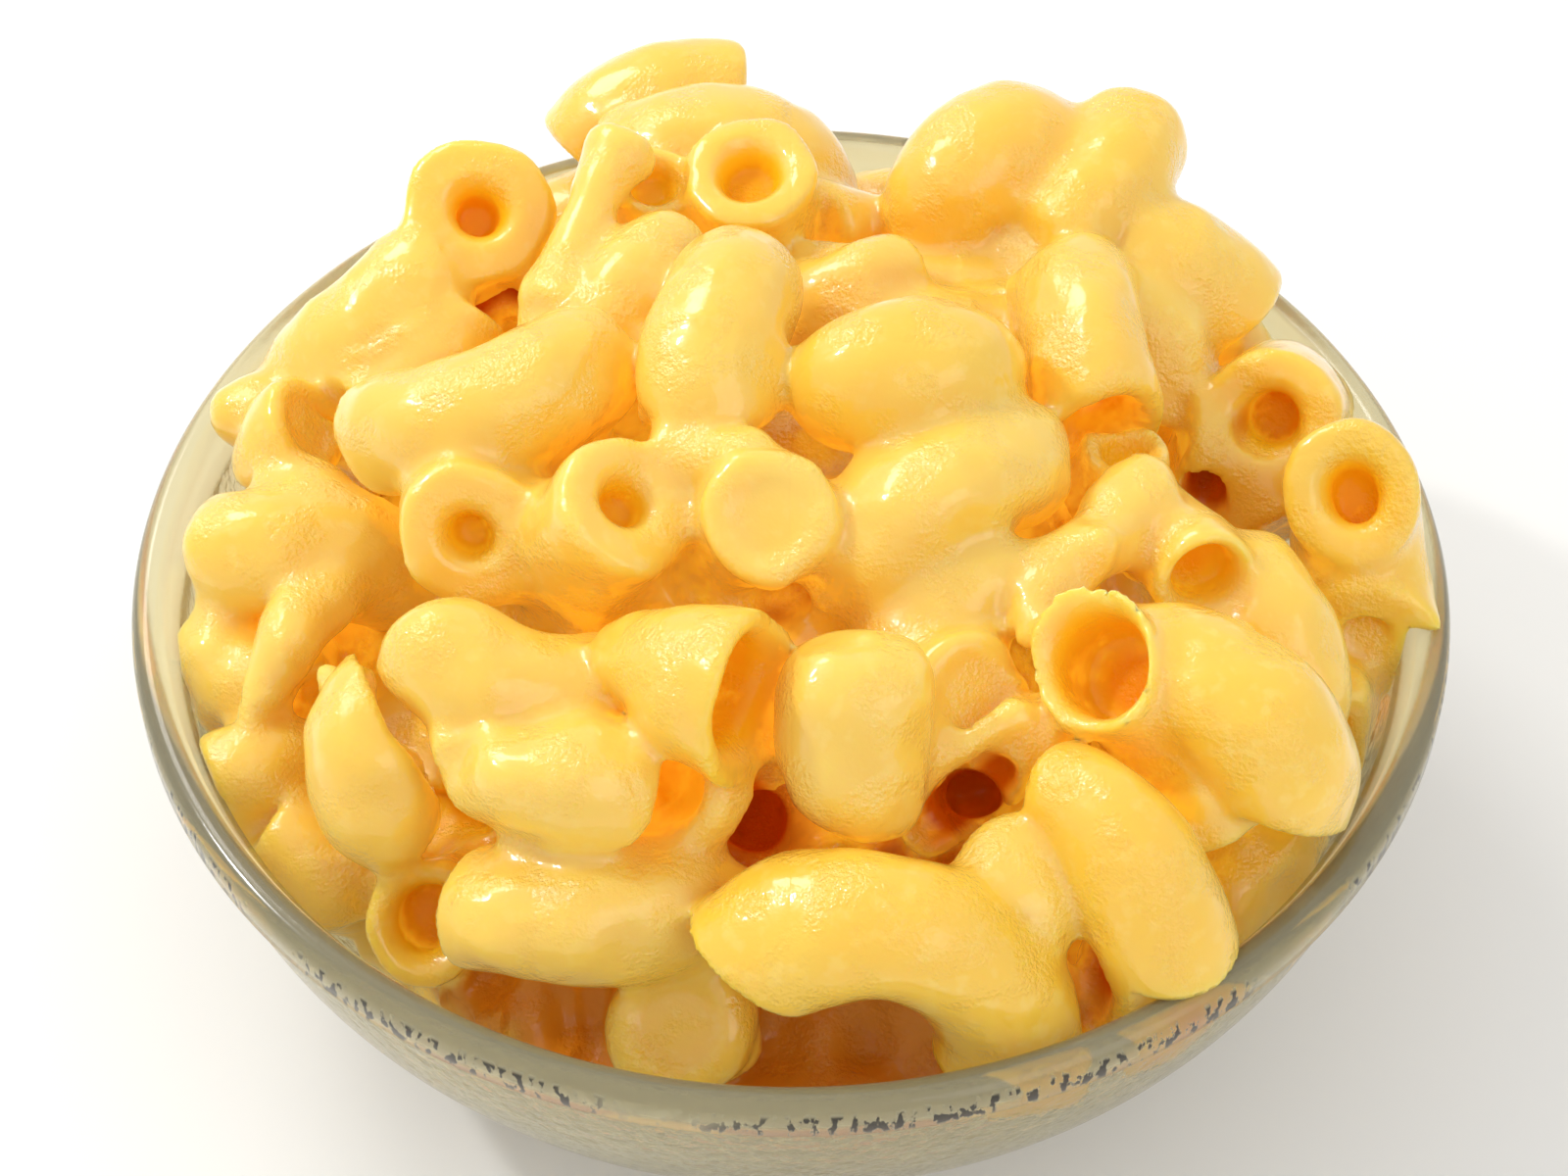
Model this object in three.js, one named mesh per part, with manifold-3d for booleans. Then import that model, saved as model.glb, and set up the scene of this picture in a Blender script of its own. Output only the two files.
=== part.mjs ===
// A small glass bowl heaped with macaroni in cheese sauce, in millimetres, +Z up.
// The origin is the middle of the bowl's underside, on the surface that it stands on.
import * as THREE from "three";
import { mergeVertices } from "three/addons/utils/BufferGeometryUtils.js";
import Module from "manifold-3d";

const wasm = await Module();
wasm.setup();

// Bowl
const RIM_RADIUS = 45; // outside of the rounded bead round the rim
const BOWL_HEIGHT = 33;
const BEAD_WIDTH = 2.4;
const BEAD_HEIGHT = 3;
const WALL_RADIUS = 43.9; // outside of the wall, just under the bead
const WALL_CLOSES_AT = 34; // depth under the rim at which the wall's outer curve would meet the axis
const INNER_RADIUS = 41.8;
const INNER_DEPTH = 30; // from the rim down to the middle of the floor
const WALL_POWER = 2.3; // 2 is an ellipse, and more is a squarer bowl
const FOOT_RADIUS = 20;
const FOOT_WIDTH = 2.5;
const FOOT_HEIGHT = 1;
const BOWL_SIDES = 40;
const WALL_STEPS = 7;
const BEAD_STEPS = 4;

// Macaroni
const BORE_SHARE = 0.4; // of the radius of the piece
const BORE_DEPTH = 6;
const BORE_LEAD = 2; // how far a bore's cutter stands out of the mouth
const PIECE_SIDES = 8;
const BORE_SIDES = 6;
const PIECE_STEP = 4.5; // longest step along a piece

// Core of the heap, under the pieces that show
const CORE_SIDES = 24;
const CORE_TOP = 7; // above the rim, in the middle
const CORE_DROP = 20; // from the middle to CORE_EDGE
const CORE_EDGE = 36;
const CORE_POWER = 2.2;
const CORE_INSET = 1.6; // clear of the inner wall, where pieces fill the space
const CONTACT_GAP = 0.3; // between the food and the glass
const HEADROOM = 40;

// Pieces pressed against the glass under the rim
const WALL_ROWS = [
  { depth: 8.5, count: 8 },
  { depth: 18, count: 7 },
];
const WALL_PIECE_RADIUS = 4.6;
const WALL_PIECE_LENGTH = 14;
const WALL_PIECE_SIDES = 6;
const WALL_PIECE_TILT = 8; // from one end to the other, most
const SEED = 7;

// Each piece is an arc through its mouth, its bend and its tail, and its radius comes last.
// Heights are above the rim. The mouth of an open piece shows its bore.
const OPEN_PIECES = [
  [[11.5, 28, 6.5], [12.5, 33, 8], [18.5, 34.5, 5], 4.7], // back right hood
  [[20.5, 8, 8.5], [19.5, 9, 11], [18.5, 14, 6], 4.6], // hood
  [[6.5, 15, 11.5], [3.5, 13, 12], [1.5, 13.5, 9.5], 3.3], // torn lip
  [[-3, 23.5, 14], [-3, 24, 8], [-3, 24, 2], 4.7], // top cup
  [[-10, 24, 13], [-10.5, 24.5, 9.5], [-11, 24.5, 6], 3.2], // top small
  [[-22, 21.5, 12], [-25.5, 23, 7], [-34, 15, -1], 4.9], // upper left
  [[-20.5, -8, 10.5], [-20, -1, 6.5], [-15.5, 8, 5.5], 4.8], // ring left
  [[-33.5, 8.5, 3], [-30.5, 9.5, 3], [-26, 11.5, 2], 4], // left cup
  [[-40, 10.5, 1], [-38, 12, 1], [-35.5, 17, -1.5], 3.3], // left tip
  [[-40, 0, 0], [-36.5, -2.5, 1], [-32.5, -5.5, -1.5], 4], // left ring
  [[-30, -6.5, 3.5], [-32.5, -11.5, 3], [-34.5, -13.5, -0.5], 3.4], // left sausage
  [[-39.5, -6, -3.5], [-36.5, -9, -3], [-34, -10.5, -4], 3.2], // left low
  [[-10, -9, 14], [-12.5, -7.5, 9], [-13.5, -5, 2], 4.8], // twin left
  [[-1.5, -10, 15], [-3.5, -5.5, 8], [-7, -4, 3], 4.4], // twin right
  [[22.5, 0, 10], [20, 1.5, 8.5], [17, 4.5, 4.5], 3.7], // small ring
  [[37, -2, 8], [38.5, -0.5, 2.5], [39, -7, -1], 4.9], // right ring
  [[32.5, 5, 8], [35, 9.5, 5], [37.5, 15, 0.5], 4.4], // right back ring
  [[18, -21, 12.5], [20, -20, 11], [23, -21, 9], 4.8], // front cup
  [[5, -20, 12], [4.5, -21.5, 7.5], [3, -26, 2], 4.8], // post
  [[-10.5, -17.5, 7.5], [-7, -23, 13], [-1, -24, 13.5], 5.2], // shell
  [[-7, -24.5, 4], [-5, -24, 2.5], [-3, -20.5, -1.5], 3.7], // shell under
  [[-19, -23.5, 5], [-15, -24.5, 5.5], [-11.5, -24, 1], 3.8], // broken
  [[-28, -15, 3.5], [-25.5, -20.5, 4], [-24, -24, 0.5], 4.4], // left post
  [[-37.5, -16, -5], [-34.5, -15.5, -4.5], [-32, -14, -8], 3.6], // wall left up
  [[-23.5, -27.5, -6], [-24.5, -23.5, -5.5], [-21, -20.5, -5], 3.7], // front left ring
  [[-7, -33, -8], [-5.5, -31, -12], [-3, -29, -17], 4], // front end
  [[11, -19, 7], [10.5, -15.5, 4], [10, -10.5, -0.5], 3.9], // frill ring
  [[9, -24, 2], [10, -19.5, -2], [11.5, -14.5, -6], 2.6], // small end
  [[39, -7.5, -7], [37.5, -5, -8.5], [36.5, -1, -12], 3.4], // right low ring
];

// Pieces whose ends are hidden, cut flat or full of sauce.
const CLOSED_PIECES = [
  [[-15.5, 36.5, 3.5], [-11, 38.5, 6.5], [-5, 40, 6], 4.6], // back left far
  [[-11.5, 31, 7.5], [-4, 31.5, 9.5], [1, 31, 4.5], 4.5], // back left near
  [[25, 33, 10], [21.5, 28, 8.5], [16.5, 22.5, 10.5], 4.7], // back right lobe
  [[25, 24.5, 4], [29, 22.5, 4.5], [32.5, 21.5, 3.5], 4.6], // right back
  [[8, 21, 5.5], [12.5, 19.5, 5.5], [17, 19.5, 4], 3.6], // ridge mid
  [[24, 17.5, 5.5], [25.5, 16, 4.5], [26, 13.5, 1], 4], // ridge right
  [[2.5, 5.5, 12.5], [7, 2.5, 15.5], [12, 5.5, 11.5], 4.7], // leaf
  [[2, 24.5, 8], [3.5, 25.5, 7], [6, 26.5, 4.5], 3], // back mid
  [[-12.5, 28.5, 12], [-14.5, 21.5, 11.5], [-18, 14, 10], 2.4], // stalk
  [[-8, 19.5, 10], [-11, 17, 10], [-14, 16.5, 7], 4.2], // mid back
  [[-28, 3, 9], [-22.5, 0.5, 13], [-15, 8.5, 12.5], 4.6], // diag left
  [[-26.5, -13.5, 9], [-21, -16.5, 6.5], [-12, -13, 1], 4.4], // centre left
  [[-3, 16, 12], [-4.5, 6.5, 17], [-9, -1, 14], 4.9], // crown
  [[14.5, -1.5, 10.5], [9, -5.5, 13], [4, -7, 8.5], 4.6], // long mid
  [[21.5, -7.5, 11.5], [17, -13.5, 12.5], [10.5, -15.5, 10.5], 4.4], // ridge front
  [[28, -8, 6.5], [25.5, -6, 7], [22.5, -2, 4.5], 3.2], // torn right
  [[31.5, -6.5, 3], [33, -11, 3], [33.5, -12.5, -2], 3.6], // right mid
  [[22.5, -13.5, 3.5], [28.5, -19, 5], [30, -25.5, -0.5], 5], // right arch
  [[17, -24.5, 6.5], [21, -30, 5.5], [21.5, -31.5, -7], 4.4], // right front arch
  [[12.5, -27, 1.5], [14, -29.5, 2], [16, -30, -2], 3.6], // bump
  [[-2.5, -33.5, 0], [5.5, -33.5, 4.5], [13.5, -35.5, -8.5], 4.9], // front arch
  [[-35, -18.5, -9], [-32, -20, -9.5], [-29, -19, -12], 3.8], // wall left low
  [[-19, -29, -2.5], [-13.5, -30, -0.5], [-6, -26, -3], 4.3], // front left
  [[19.5, -27.5, -9.5], [20, -28.5, -11], [20, -29.5, -14.5], 2.6], // gap piece
  [[28, -22.5, -5], [28.5, -23, -8.5], [28.5, -23, -13], 3.2], // under arch
  [[16, -20, 4.5], [14, -21.5, 4], [13, -21.5, 1.5], 2.3], // sliver
  [[-28.5, -20.5, -5], [-27.5, -21, -6.5], [-26.5, -21.5, -8.5], 2.2], // left frill
  [[-34, 12, -4], [-29, 21, -3], [-20, 28, -3], 4.6], // under upper left
  [[-23, 32, -4], [-14, 35, -2], [-4, 37, -5], 4.5], // back left low
  [[3, 36, -5], [11, 34, -1], [19, 31, -4], 4.6], // back right low
  [[22, 29, -3], [29, 25, -2], [33, 17, -6], 4.5], // right back low
  [[-18, 18, 4], [-10, 22, 5], [-2, 20, 4], 4.4], // behind crown
  [[0, 17, 6], [8, 13, 7], [14, 14, 5], 4.4], // behind leaf
];

function superellipse(depth, radius, closesAt) {
  const share = Math.min(depth / closesAt, 1);
  return radius * (1 - share ** WALL_POWER) ** (1 / WALL_POWER);
}

const outerRadius = (depth) => superellipse(depth, WALL_RADIUS, WALL_CLOSES_AT);
const innerRadius = (depth) => superellipse(depth, INNER_RADIUS, INNER_DEPTH);

function random(seed) {
  let state = seed;
  return () => {
    state = (state * 16807) % 2147483647;
    return state / 2147483647;
  };
}

// A closed ring or body of revolution about Z, from a profile of radius and height.
function lathe(profile, sides) {
  const points = profile.map(([radius, height]) => new THREE.Vector2(radius, height));
  return new THREE.LatheGeometry(points, sides).rotateX(Math.PI / 2);
}

function solid(geometry) {
  const bare = geometry.clone();
  bare.deleteAttribute("normal");
  bare.deleteAttribute("uv");
  const merged = mergeVertices(bare, 1e-3);
  return new wasm.Manifold(
    new wasm.Mesh({
      numProp: 3,
      vertProperties: merged.attributes.position.array,
      triVerts: new Uint32Array(merged.index.array),
    }),
  );
}

function geometryOf(manifold) {
  const mesh = manifold.getMesh();
  const geometry = new THREE.BufferGeometry();
  geometry.setAttribute("position", new THREE.BufferAttribute(mesh.vertProperties, 3));
  geometry.setIndex(new THREE.BufferAttribute(mesh.triVerts, 1));
  geometry.computeVertexNormals();
  return geometry;
}

// Heights of the curved wall from its top to its foot, closer together where it turns in.
function wallDepths(top, bottom) {
  return Array.from({ length: WALL_STEPS + 1 }, (_, i) => {
    const turn = (i / WALL_STEPS) * (Math.PI / 2);
    return top + (bottom - top) * Math.sin(turn);
  });
}

function bowlProfile() {
  const footDepth = BOWL_HEIGHT - FOOT_HEIGHT;
  const beadTop = BOWL_HEIGHT - BEAD_WIDTH / 2;
  const beadMiddle = RIM_RADIUS - BEAD_WIDTH / 2;
  const profile = [
    [0, FOOT_HEIGHT],
    [FOOT_RADIUS - FOOT_WIDTH, FOOT_HEIGHT],
    [FOOT_RADIUS - FOOT_WIDTH, 0],
    [FOOT_RADIUS, 0],
    [FOOT_RADIUS, FOOT_HEIGHT],
  ];
  const outer = wallDepths(BEAD_HEIGHT + 0.5, footDepth - 0.6).reverse();
  for (const depth of outer) profile.push([outerRadius(depth), BOWL_HEIGHT - depth]);
  profile.push([RIM_RADIUS, BOWL_HEIGHT - BEAD_HEIGHT]);
  for (let i = 0; i <= BEAD_STEPS; i++) {
    const turn = (i / BEAD_STEPS) * Math.PI;
    const radius = beadMiddle + (BEAD_WIDTH / 2) * Math.cos(turn);
    profile.push([radius, beadTop + (BEAD_WIDTH / 2) * Math.sin(turn)]);
  }
  const inner = wallDepths(BEAD_HEIGHT, INNER_DEPTH);
  for (const depth of inner) profile.push([innerRadius(depth), BOWL_HEIGHT - depth]);
  return profile;
}

// What the food may fill: the bowl's inside, and everything over the rim.
function roomProfile() {
  const profile = [[0, BOWL_HEIGHT - INNER_DEPTH + CONTACT_GAP]];
  const depths = wallDepths(BEAD_HEIGHT, INNER_DEPTH).reverse();
  for (const depth of depths.slice(1)) {
    profile.push([innerRadius(depth) - CONTACT_GAP, BOWL_HEIGHT - depth]);
  }
  const rimInside = RIM_RADIUS - BEAD_WIDTH;
  profile.push([innerRadius(BEAD_HEIGHT) - CONTACT_GAP, BOWL_HEIGHT + CONTACT_GAP]);
  profile.push([rimInside + BEAD_WIDTH / 2, BOWL_HEIGHT + CONTACT_GAP]);
  profile.push([RIM_RADIUS, BOWL_HEIGHT + CONTACT_GAP]);
  profile.push([RIM_RADIUS, BOWL_HEIGHT + HEADROOM]);
  profile.push([0, BOWL_HEIGHT + HEADROOM]);
  return profile;
}

function coreProfile() {
  const profile = [[0, BOWL_HEIGHT - INNER_DEPTH + CORE_INSET]];
  const edgeDepth = CORE_DROP - CORE_TOP;
  const depths = wallDepths(edgeDepth, INNER_DEPTH - CORE_INSET).reverse();
  for (const depth of depths) {
    const radius = Math.max(innerRadius(depth) - CORE_INSET, 1);
    profile.push([radius, BOWL_HEIGHT - depth]);
  }
  for (const share of [0.85, 0.65, 0.4]) {
    const height = CORE_TOP - CORE_DROP * share ** CORE_POWER;
    profile.push([CORE_EDGE * share, BOWL_HEIGHT + height]);
  }
  profile.push([0, BOWL_HEIGHT + CORE_TOP]);
  return profile;
}

// The part of a circle that runs from start to end through middle.
class ArcCurve extends THREE.Curve {
  constructor(start, middle, end) {
    super();
    const toMiddle = middle.clone().sub(start);
    const toEnd = end.clone().sub(start);
    const normal = toMiddle.clone().cross(toEnd);
    const scale = 2 * normal.lengthSq();
    const offset = normal.clone().cross(toMiddle).multiplyScalar(toEnd.lengthSq());
    offset.add(toEnd.clone().cross(normal).multiplyScalar(toMiddle.lengthSq()));
    this.centre = start.clone().addScaledVector(offset, 1 / scale);
    this.xAxis = start.clone().sub(this.centre);
    this.radius = this.xAxis.length();
    this.xAxis.normalize();
    this.yAxis = normal.normalize().cross(this.xAxis);
    const last = end.clone().sub(this.centre);
    const turn = Math.atan2(last.dot(this.yAxis), last.dot(this.xAxis));
    this.turn = turn > 0 ? turn : turn + 2 * Math.PI;
  }

  // A share below 0 or above 1 carries on round the circle.
  getPoint(share, target = new THREE.Vector3()) {
    const angle = share * this.turn;
    target.copy(this.centre).addScaledVector(this.xAxis, this.radius * Math.cos(angle));
    return target.addScaledVector(this.yAxis, this.radius * Math.sin(angle));
  }

  getLength() {
    return this.radius * this.turn;
  }

  stretch(fromShare, toShare) {
    return new ArcCurve(
      this.getPoint(fromShare),
      this.getPoint((fromShare + toShare) / 2),
      this.getPoint(toShare),
    );
  }
}

function tube(curve, radius, sides) {
  const corners = Array.from({ length: sides }, (_, i) => {
    const angle = (i / sides) * 2 * Math.PI;
    return new THREE.Vector2(radius * Math.cos(angle), radius * Math.sin(angle));
  });
  const steps = Math.max(Math.round(curve.getLength() / PIECE_STEP), 2);
  const options = { extrudePath: curve, steps, curveSegments: 1 };
  return new THREE.ExtrudeGeometry(new THREE.Shape(corners), options);
}

const point = ([x, y, height]) => new THREE.Vector3(x, y, BOWL_HEIGHT + height);

const pieceArc = ([mouth, bend, tail]) => new ArcCurve(point(mouth), point(bend), point(tail));

function visiblePieces() {
  return [...OPEN_PIECES, ...CLOSED_PIECES].map((piece) =>
    solid(tube(pieceArc(piece), piece[3], PIECE_SIDES)),
  );
}

function bores() {
  return OPEN_PIECES.map((piece) => {
    const curve = pieceArc(piece);
    const length = curve.getLength();
    const bore = curve.stretch(-BORE_LEAD / length, Math.min(BORE_DEPTH / length, 0.8));
    return solid(tube(bore, piece[3] * BORE_SHARE, BORE_SIDES));
  });
}

// The place of a piece's middle line when its side just touches the inner wall at this depth.
function besideWall(angle, depth) {
  const slope = innerRadius(depth + 0.5) - innerRadius(depth - 0.5);
  const reach = WALL_PIECE_RADIUS + CONTACT_GAP;
  const inward = reach / Math.hypot(1, slope);
  const radius = innerRadius(depth) - inward;
  const height = BOWL_HEIGHT - depth - slope * inward;
  return new THREE.Vector3(radius * Math.cos(angle), radius * Math.sin(angle), height);
}

// Rows of pieces that lie along the wall, each turned up or down by a seeded draw.
function wallPieces() {
  const draw = random(SEED);
  const bodies = [];
  WALL_ROWS.forEach(({ depth, count }, row) => {
    for (let i = 0; i < count; i++) {
      const middle = ((i + row / 2 + 0.4 * (draw() - 0.5)) / count) * 2 * Math.PI;
      const rise = (draw() - 0.5) * WALL_PIECE_TILT;
      const halfTurn = WALL_PIECE_LENGTH / 2 / innerRadius(depth);
      const curve = new ArcCurve(
        besideWall(middle - halfTurn, depth - rise),
        besideWall(middle, depth + 2 * draw() - 1),
        besideWall(middle + halfTurn, depth + rise),
      );
      bodies.push(solid(tube(curve, WALL_PIECE_RADIUS, WALL_PIECE_SIDES)));
    }
  });
  return bodies;
}

function join(solids) {
  return solids.reduce((whole, next) => whole.add(next));
}

// The largest body alone: this drops loose scraps and fills hollows that are sealed.
function largestBody(manifold) {
  const bodies = manifold.decompose();
  return bodies.reduce((best, next) => (next.volume() > best.volume() ? next : best));
}

function bowl() {
  const material = new THREE.MeshStandardMaterial({
    name: "pressed clear glass",
    color: 0xdfe6df,
    roughness: 0.06,
    metalness: 0,
    transparent: true,
    opacity: 0.35,
  });
  const mesh = new THREE.Mesh(lathe(bowlProfile(), BOWL_SIDES), material);
  mesh.name = "glass_bowl";
  return mesh;
}

function macaroniHeap() {
  const core = solid(lathe(coreProfile(), CORE_SIDES));
  const room = solid(lathe(roomProfile(), BOWL_SIDES));
  const heap = join([core, ...wallPieces(), ...visiblePieces()]);
  const open = heap.subtract(join(bores()));
  const food = largestBody(open.intersect(room));
  const material = new THREE.MeshStandardMaterial({
    name: "macaroni in cheese sauce",
    color: 0xf6cf6c,
    roughness: 0.3,
    metalness: 0,
  });
  const mesh = new THREE.Mesh(geometryOf(food), material);
  mesh.name = "macaroni_heap";
  return mesh;
}

const macAndCheese = new THREE.Group();
macAndCheese.name = "mac_and_cheese";
macAndCheese.add(bowl(), macaroniHeap());

export default macAndCheese;
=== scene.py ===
"""Macaroni in cheese sauce, heaped in a small pressed glass bowl.

Sizes are in millimetres and turn to metres where a mesh is made. The origin is the middle of the
bowl's underside, +Z is up, and heights in the placement tables are above the rim.
"""
from __future__ import annotations

import logging
import math
from dataclasses import dataclass, field
from enum import Enum
from typing import Iterable, Sequence

import bpy
import numpy as np
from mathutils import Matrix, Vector


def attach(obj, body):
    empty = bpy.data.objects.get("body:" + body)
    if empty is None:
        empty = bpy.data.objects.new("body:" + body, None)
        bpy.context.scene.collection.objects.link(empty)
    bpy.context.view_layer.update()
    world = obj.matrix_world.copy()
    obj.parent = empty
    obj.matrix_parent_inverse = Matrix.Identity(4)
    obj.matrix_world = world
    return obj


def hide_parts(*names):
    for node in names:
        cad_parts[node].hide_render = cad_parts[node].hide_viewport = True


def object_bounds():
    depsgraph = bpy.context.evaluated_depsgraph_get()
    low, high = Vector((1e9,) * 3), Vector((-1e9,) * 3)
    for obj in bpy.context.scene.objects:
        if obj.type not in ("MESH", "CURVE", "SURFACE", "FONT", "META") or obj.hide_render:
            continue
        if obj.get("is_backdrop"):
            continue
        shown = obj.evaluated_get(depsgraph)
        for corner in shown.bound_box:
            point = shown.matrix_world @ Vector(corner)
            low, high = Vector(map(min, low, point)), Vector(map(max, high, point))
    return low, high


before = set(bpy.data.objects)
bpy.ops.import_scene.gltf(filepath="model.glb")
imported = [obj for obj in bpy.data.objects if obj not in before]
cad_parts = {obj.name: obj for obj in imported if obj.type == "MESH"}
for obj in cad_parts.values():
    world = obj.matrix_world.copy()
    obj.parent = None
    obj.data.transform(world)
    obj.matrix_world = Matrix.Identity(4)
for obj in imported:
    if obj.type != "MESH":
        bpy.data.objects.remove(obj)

LOG = logging.getLogger("mac_and_cheese")
MM = 0.001
ROOT = "root"
Socket = bpy.types.NodeSocket
Colour = bpy.types.NodeSocket | str
Triple = tuple[float, float, float]


# --------------------------------------------------------------------------- shared helpers


def linear_rgba(hex_code: str, alpha: float = 1.0) -> tuple[float, float, float, float]:
    """Turn an sRGB hex colour such as "F6CF6C" into linear red, green, blue and alpha.

    Args:
        hex_code: six hexadecimal digits.
        alpha: the opacity to add.

    Returns:
        The four linear values that a shader socket takes.
    """
    shares = (int(hex_code[i : i + 2], 16) / 255 for i in (0, 2, 4))
    red, green, blue = (
        s / 12.92 if s <= 0.04045 else ((s + 0.055) / 1.055) ** 2.4 for s in shares
    )
    return (red, green, blue, alpha)


def add_node(
    tree: bpy.types.NodeTree,
    kind: str,
    settings: dict | None = None,
    inputs: dict | None = None,
) -> bpy.types.Node:
    """Add one shader node, set it up and link it.

    Args:
        tree: the material's node tree.
        kind: the node's type, such as "ShaderNodeTexNoise".
        settings: attributes of the node itself.
        inputs: socket name or index to a plain value, or to the output socket to link.

    Returns:
        The new node.
    """
    node = tree.nodes.new(kind)
    for name, value in (settings or {}).items():
        setattr(node, name, value)
    for key, value in (inputs or {}).items():
        socket = node.inputs[key]
        if isinstance(value, bpy.types.NodeSocket):
            tree.links.new(value, socket)
        else:
            socket.default_value = value
    return node


def add_mesh(
    name: str,
    points: np.ndarray,
    faces: np.ndarray,
    attributes: dict[str, np.ndarray] | None = None,
) -> bpy.types.Object:
    """Put a smooth quad surface into the scene, at the origin.

    Args:
        name: the piece's name.
        points: vertex positions in millimetres, one row each.
        faces: four vertex numbers a row, in the order that faces outwards.
        attributes: name to one number for each vertex.

    Returns:
        The new object.
    """
    mesh = bpy.data.meshes.new(name)
    mesh.vertices.add(len(points))
    mesh.vertices.foreach_set("co", (points * MM).astype(np.float32).ravel())
    mesh.loops.add(faces.size)
    mesh.loops.foreach_set("vertex_index", faces.astype(np.int32).ravel())
    mesh.polygons.add(len(faces))
    mesh.polygons.foreach_set("loop_start", np.arange(0, faces.size, 4, dtype=np.int32))
    mesh.polygons.foreach_set("use_smooth", np.ones(len(faces), bool))
    mesh.update(calc_edges=True)
    mesh.validate()
    for key, values in (attributes or {}).items():
        layer = mesh.attributes.new(key, "FLOAT", "POINT")
        layer.data.foreach_set("value", values.astype(np.float32))
    piece = bpy.data.objects.new(name, mesh)
    bpy.context.scene.collection.objects.link(piece)
    return piece


def revolve(profile: np.ndarray, sides: int) -> tuple[np.ndarray, np.ndarray]:
    """Turn a closed ring of radius and height about Z: x = r cos a, y = r sin a, z = height.

    Args:
        profile: radius and height of each point, from the axis round to the axis.
        sides: how many steps go round.

    Returns:
        The points, with a pole at each end, and the quads that join the rings; no faces join the poles.
    """
    angles = np.linspace(0, 2 * np.pi, sides, endpoint=False)
    ring = profile[1:-1]
    rows = len(ring)
    x = ring[:, 0, None] * np.cos(angles)
    y = ring[:, 0, None] * np.sin(angles)
    z = np.broadcast_to(ring[:, 1, None], x.shape)
    poles = np.array([[0, 0, profile[0, 1]], [0, 0, profile[-1, 1]]])
    points = np.vstack([np.stack([x, y, z], -1).reshape(-1, 3), poles])
    i, j = np.meshgrid(np.arange(rows - 1), np.arange(sides), indexing="ij")
    k = (j + 1) % sides
    body = np.stack([i * sides + j, i * sides + k, (i + 1) * sides + k, (i + 1) * sides + j], -1)
    return points, body.reshape(-1, 4)


# --------------------------------------------------------------------------- the bowl's form


@dataclass(frozen=True)
class BowlForm:
    """Sizes of the pressed glass bowl, and the curves of its two walls."""

    rim_radius: float = 45.0
    height: float = 33.0
    bead_width: float = 2.4
    bead_height: float = 3.0
    wall_radius: float = 43.9
    wall_closes_at: float = 34.0
    inner_radius: float = 41.8
    inner_depth: float = 30.0
    power: float = 2.3
    foot_radius: float = 20.0
    foot_width: float = 2.5
    foot_height: float = 1.0

    def _curve(self, depth: np.ndarray, radius: float, closes_at: float) -> np.ndarray:
        """Radius of a superellipse at a depth: radius (1 - (depth / closes_at)^p)^(1/p)."""
        share = np.clip(depth / closes_at, 0, 1)
        return radius * (1 - share**self.power) ** (1 / self.power)

    def inner(self, depth: np.ndarray) -> np.ndarray:
        """Radius of the inner wall at a depth under the rim."""
        return self._curve(depth, self.inner_radius, self.inner_depth)

    def outer(self, depth: np.ndarray) -> np.ndarray:
        """Radius of the outer wall at a depth under the rim."""
        return self._curve(depth, self.wall_radius, self.wall_closes_at)


# --------------------------------------------------------------------------- macaroni


class End(Enum):
    """What the mouth of a piece of macaroni shows."""

    OPEN = "open"  # the bore
    SAUCED = "sauced"  # a shallow dimple, because sauce fills the bore
    PLAIN = "plain"  # nothing: it is cut flat, pressed shut or hidden


@dataclass(frozen=True)
class Elbow:
    """One piece of elbow macaroni: an arc through its mouth, its bend and its tail."""

    name: str
    mouth: Triple
    bend: Triple
    tail: Triple
    radius: float
    end: End = End.PLAIN
    bore: float = 0.4  # of the radius
    bare: float = 0.4  # 0 under thick sauce, 1 where the pasta itself shows
    mouth_slant: Triple = (0.0, 0.0, 0.0)  # added to the direction that the cut faces
    tail_slant: Triple = (0.0, 0.0, 0.0)
    flare: float = 0.0  # how much wider the mouth is
    bore_depth: float = 7.0
    lip: float = 0.9  # how far the edges of the cuts are rounded off
    taper: Triple = (1.0, 1.0, 1.0)  # share of the radius at the mouth, the bend and the tail


@dataclass(frozen=True)
class Arc:
    """Part of a circle, with its own axes: it starts on the x axis and turns towards y."""

    centre: np.ndarray
    x_axis: np.ndarray
    y_axis: np.ndarray
    normal: np.ndarray
    radius: float
    turn: float

    @classmethod
    def through(cls, start: np.ndarray, middle: np.ndarray, end: np.ndarray) -> "Arc":
        """Find the circle through three points, from the perpendicular bisectors' crossing.

        Args:
            start: where the arc begins.
            middle: a point on its way.
            end: where it ends.

        Returns:
            The arc.
        """
        a, b = middle - start, end - start
        normal = np.cross(a, b)
        offset = np.cross(normal, a) * (b @ b) + np.cross(b, normal) * (a @ a)
        centre = start + offset / (2 * normal @ normal)
        x_axis = (start - centre) / np.linalg.norm(start - centre)
        normal = normal / np.linalg.norm(normal)
        y_axis = np.cross(normal, x_axis)
        last = end - centre
        turn = math.atan2(last @ y_axis, last @ x_axis) % (2 * math.pi)
        return cls(centre, x_axis, y_axis, normal, float(np.linalg.norm(start - centre)), turn)

    def point(self, share: float | np.ndarray) -> np.ndarray:
        """Point at a share of the arc: centre + r cos(a) x + r sin(a) y.

        Args:
            share: 0 at the start and 1 at the end.

        Returns:
            One point for each share.
        """
        angle = np.asarray(share)[..., None] * self.turn
        spoke = np.cos(angle) * self.x_axis + np.sin(angle) * self.y_axis
        return self.centre + self.radius * spoke

    def heading(self, share: float) -> np.ndarray:
        """Direction of travel at a share of the arc."""
        angle = share * self.turn
        return -math.sin(angle) * self.x_axis + math.cos(angle) * self.y_axis


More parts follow.
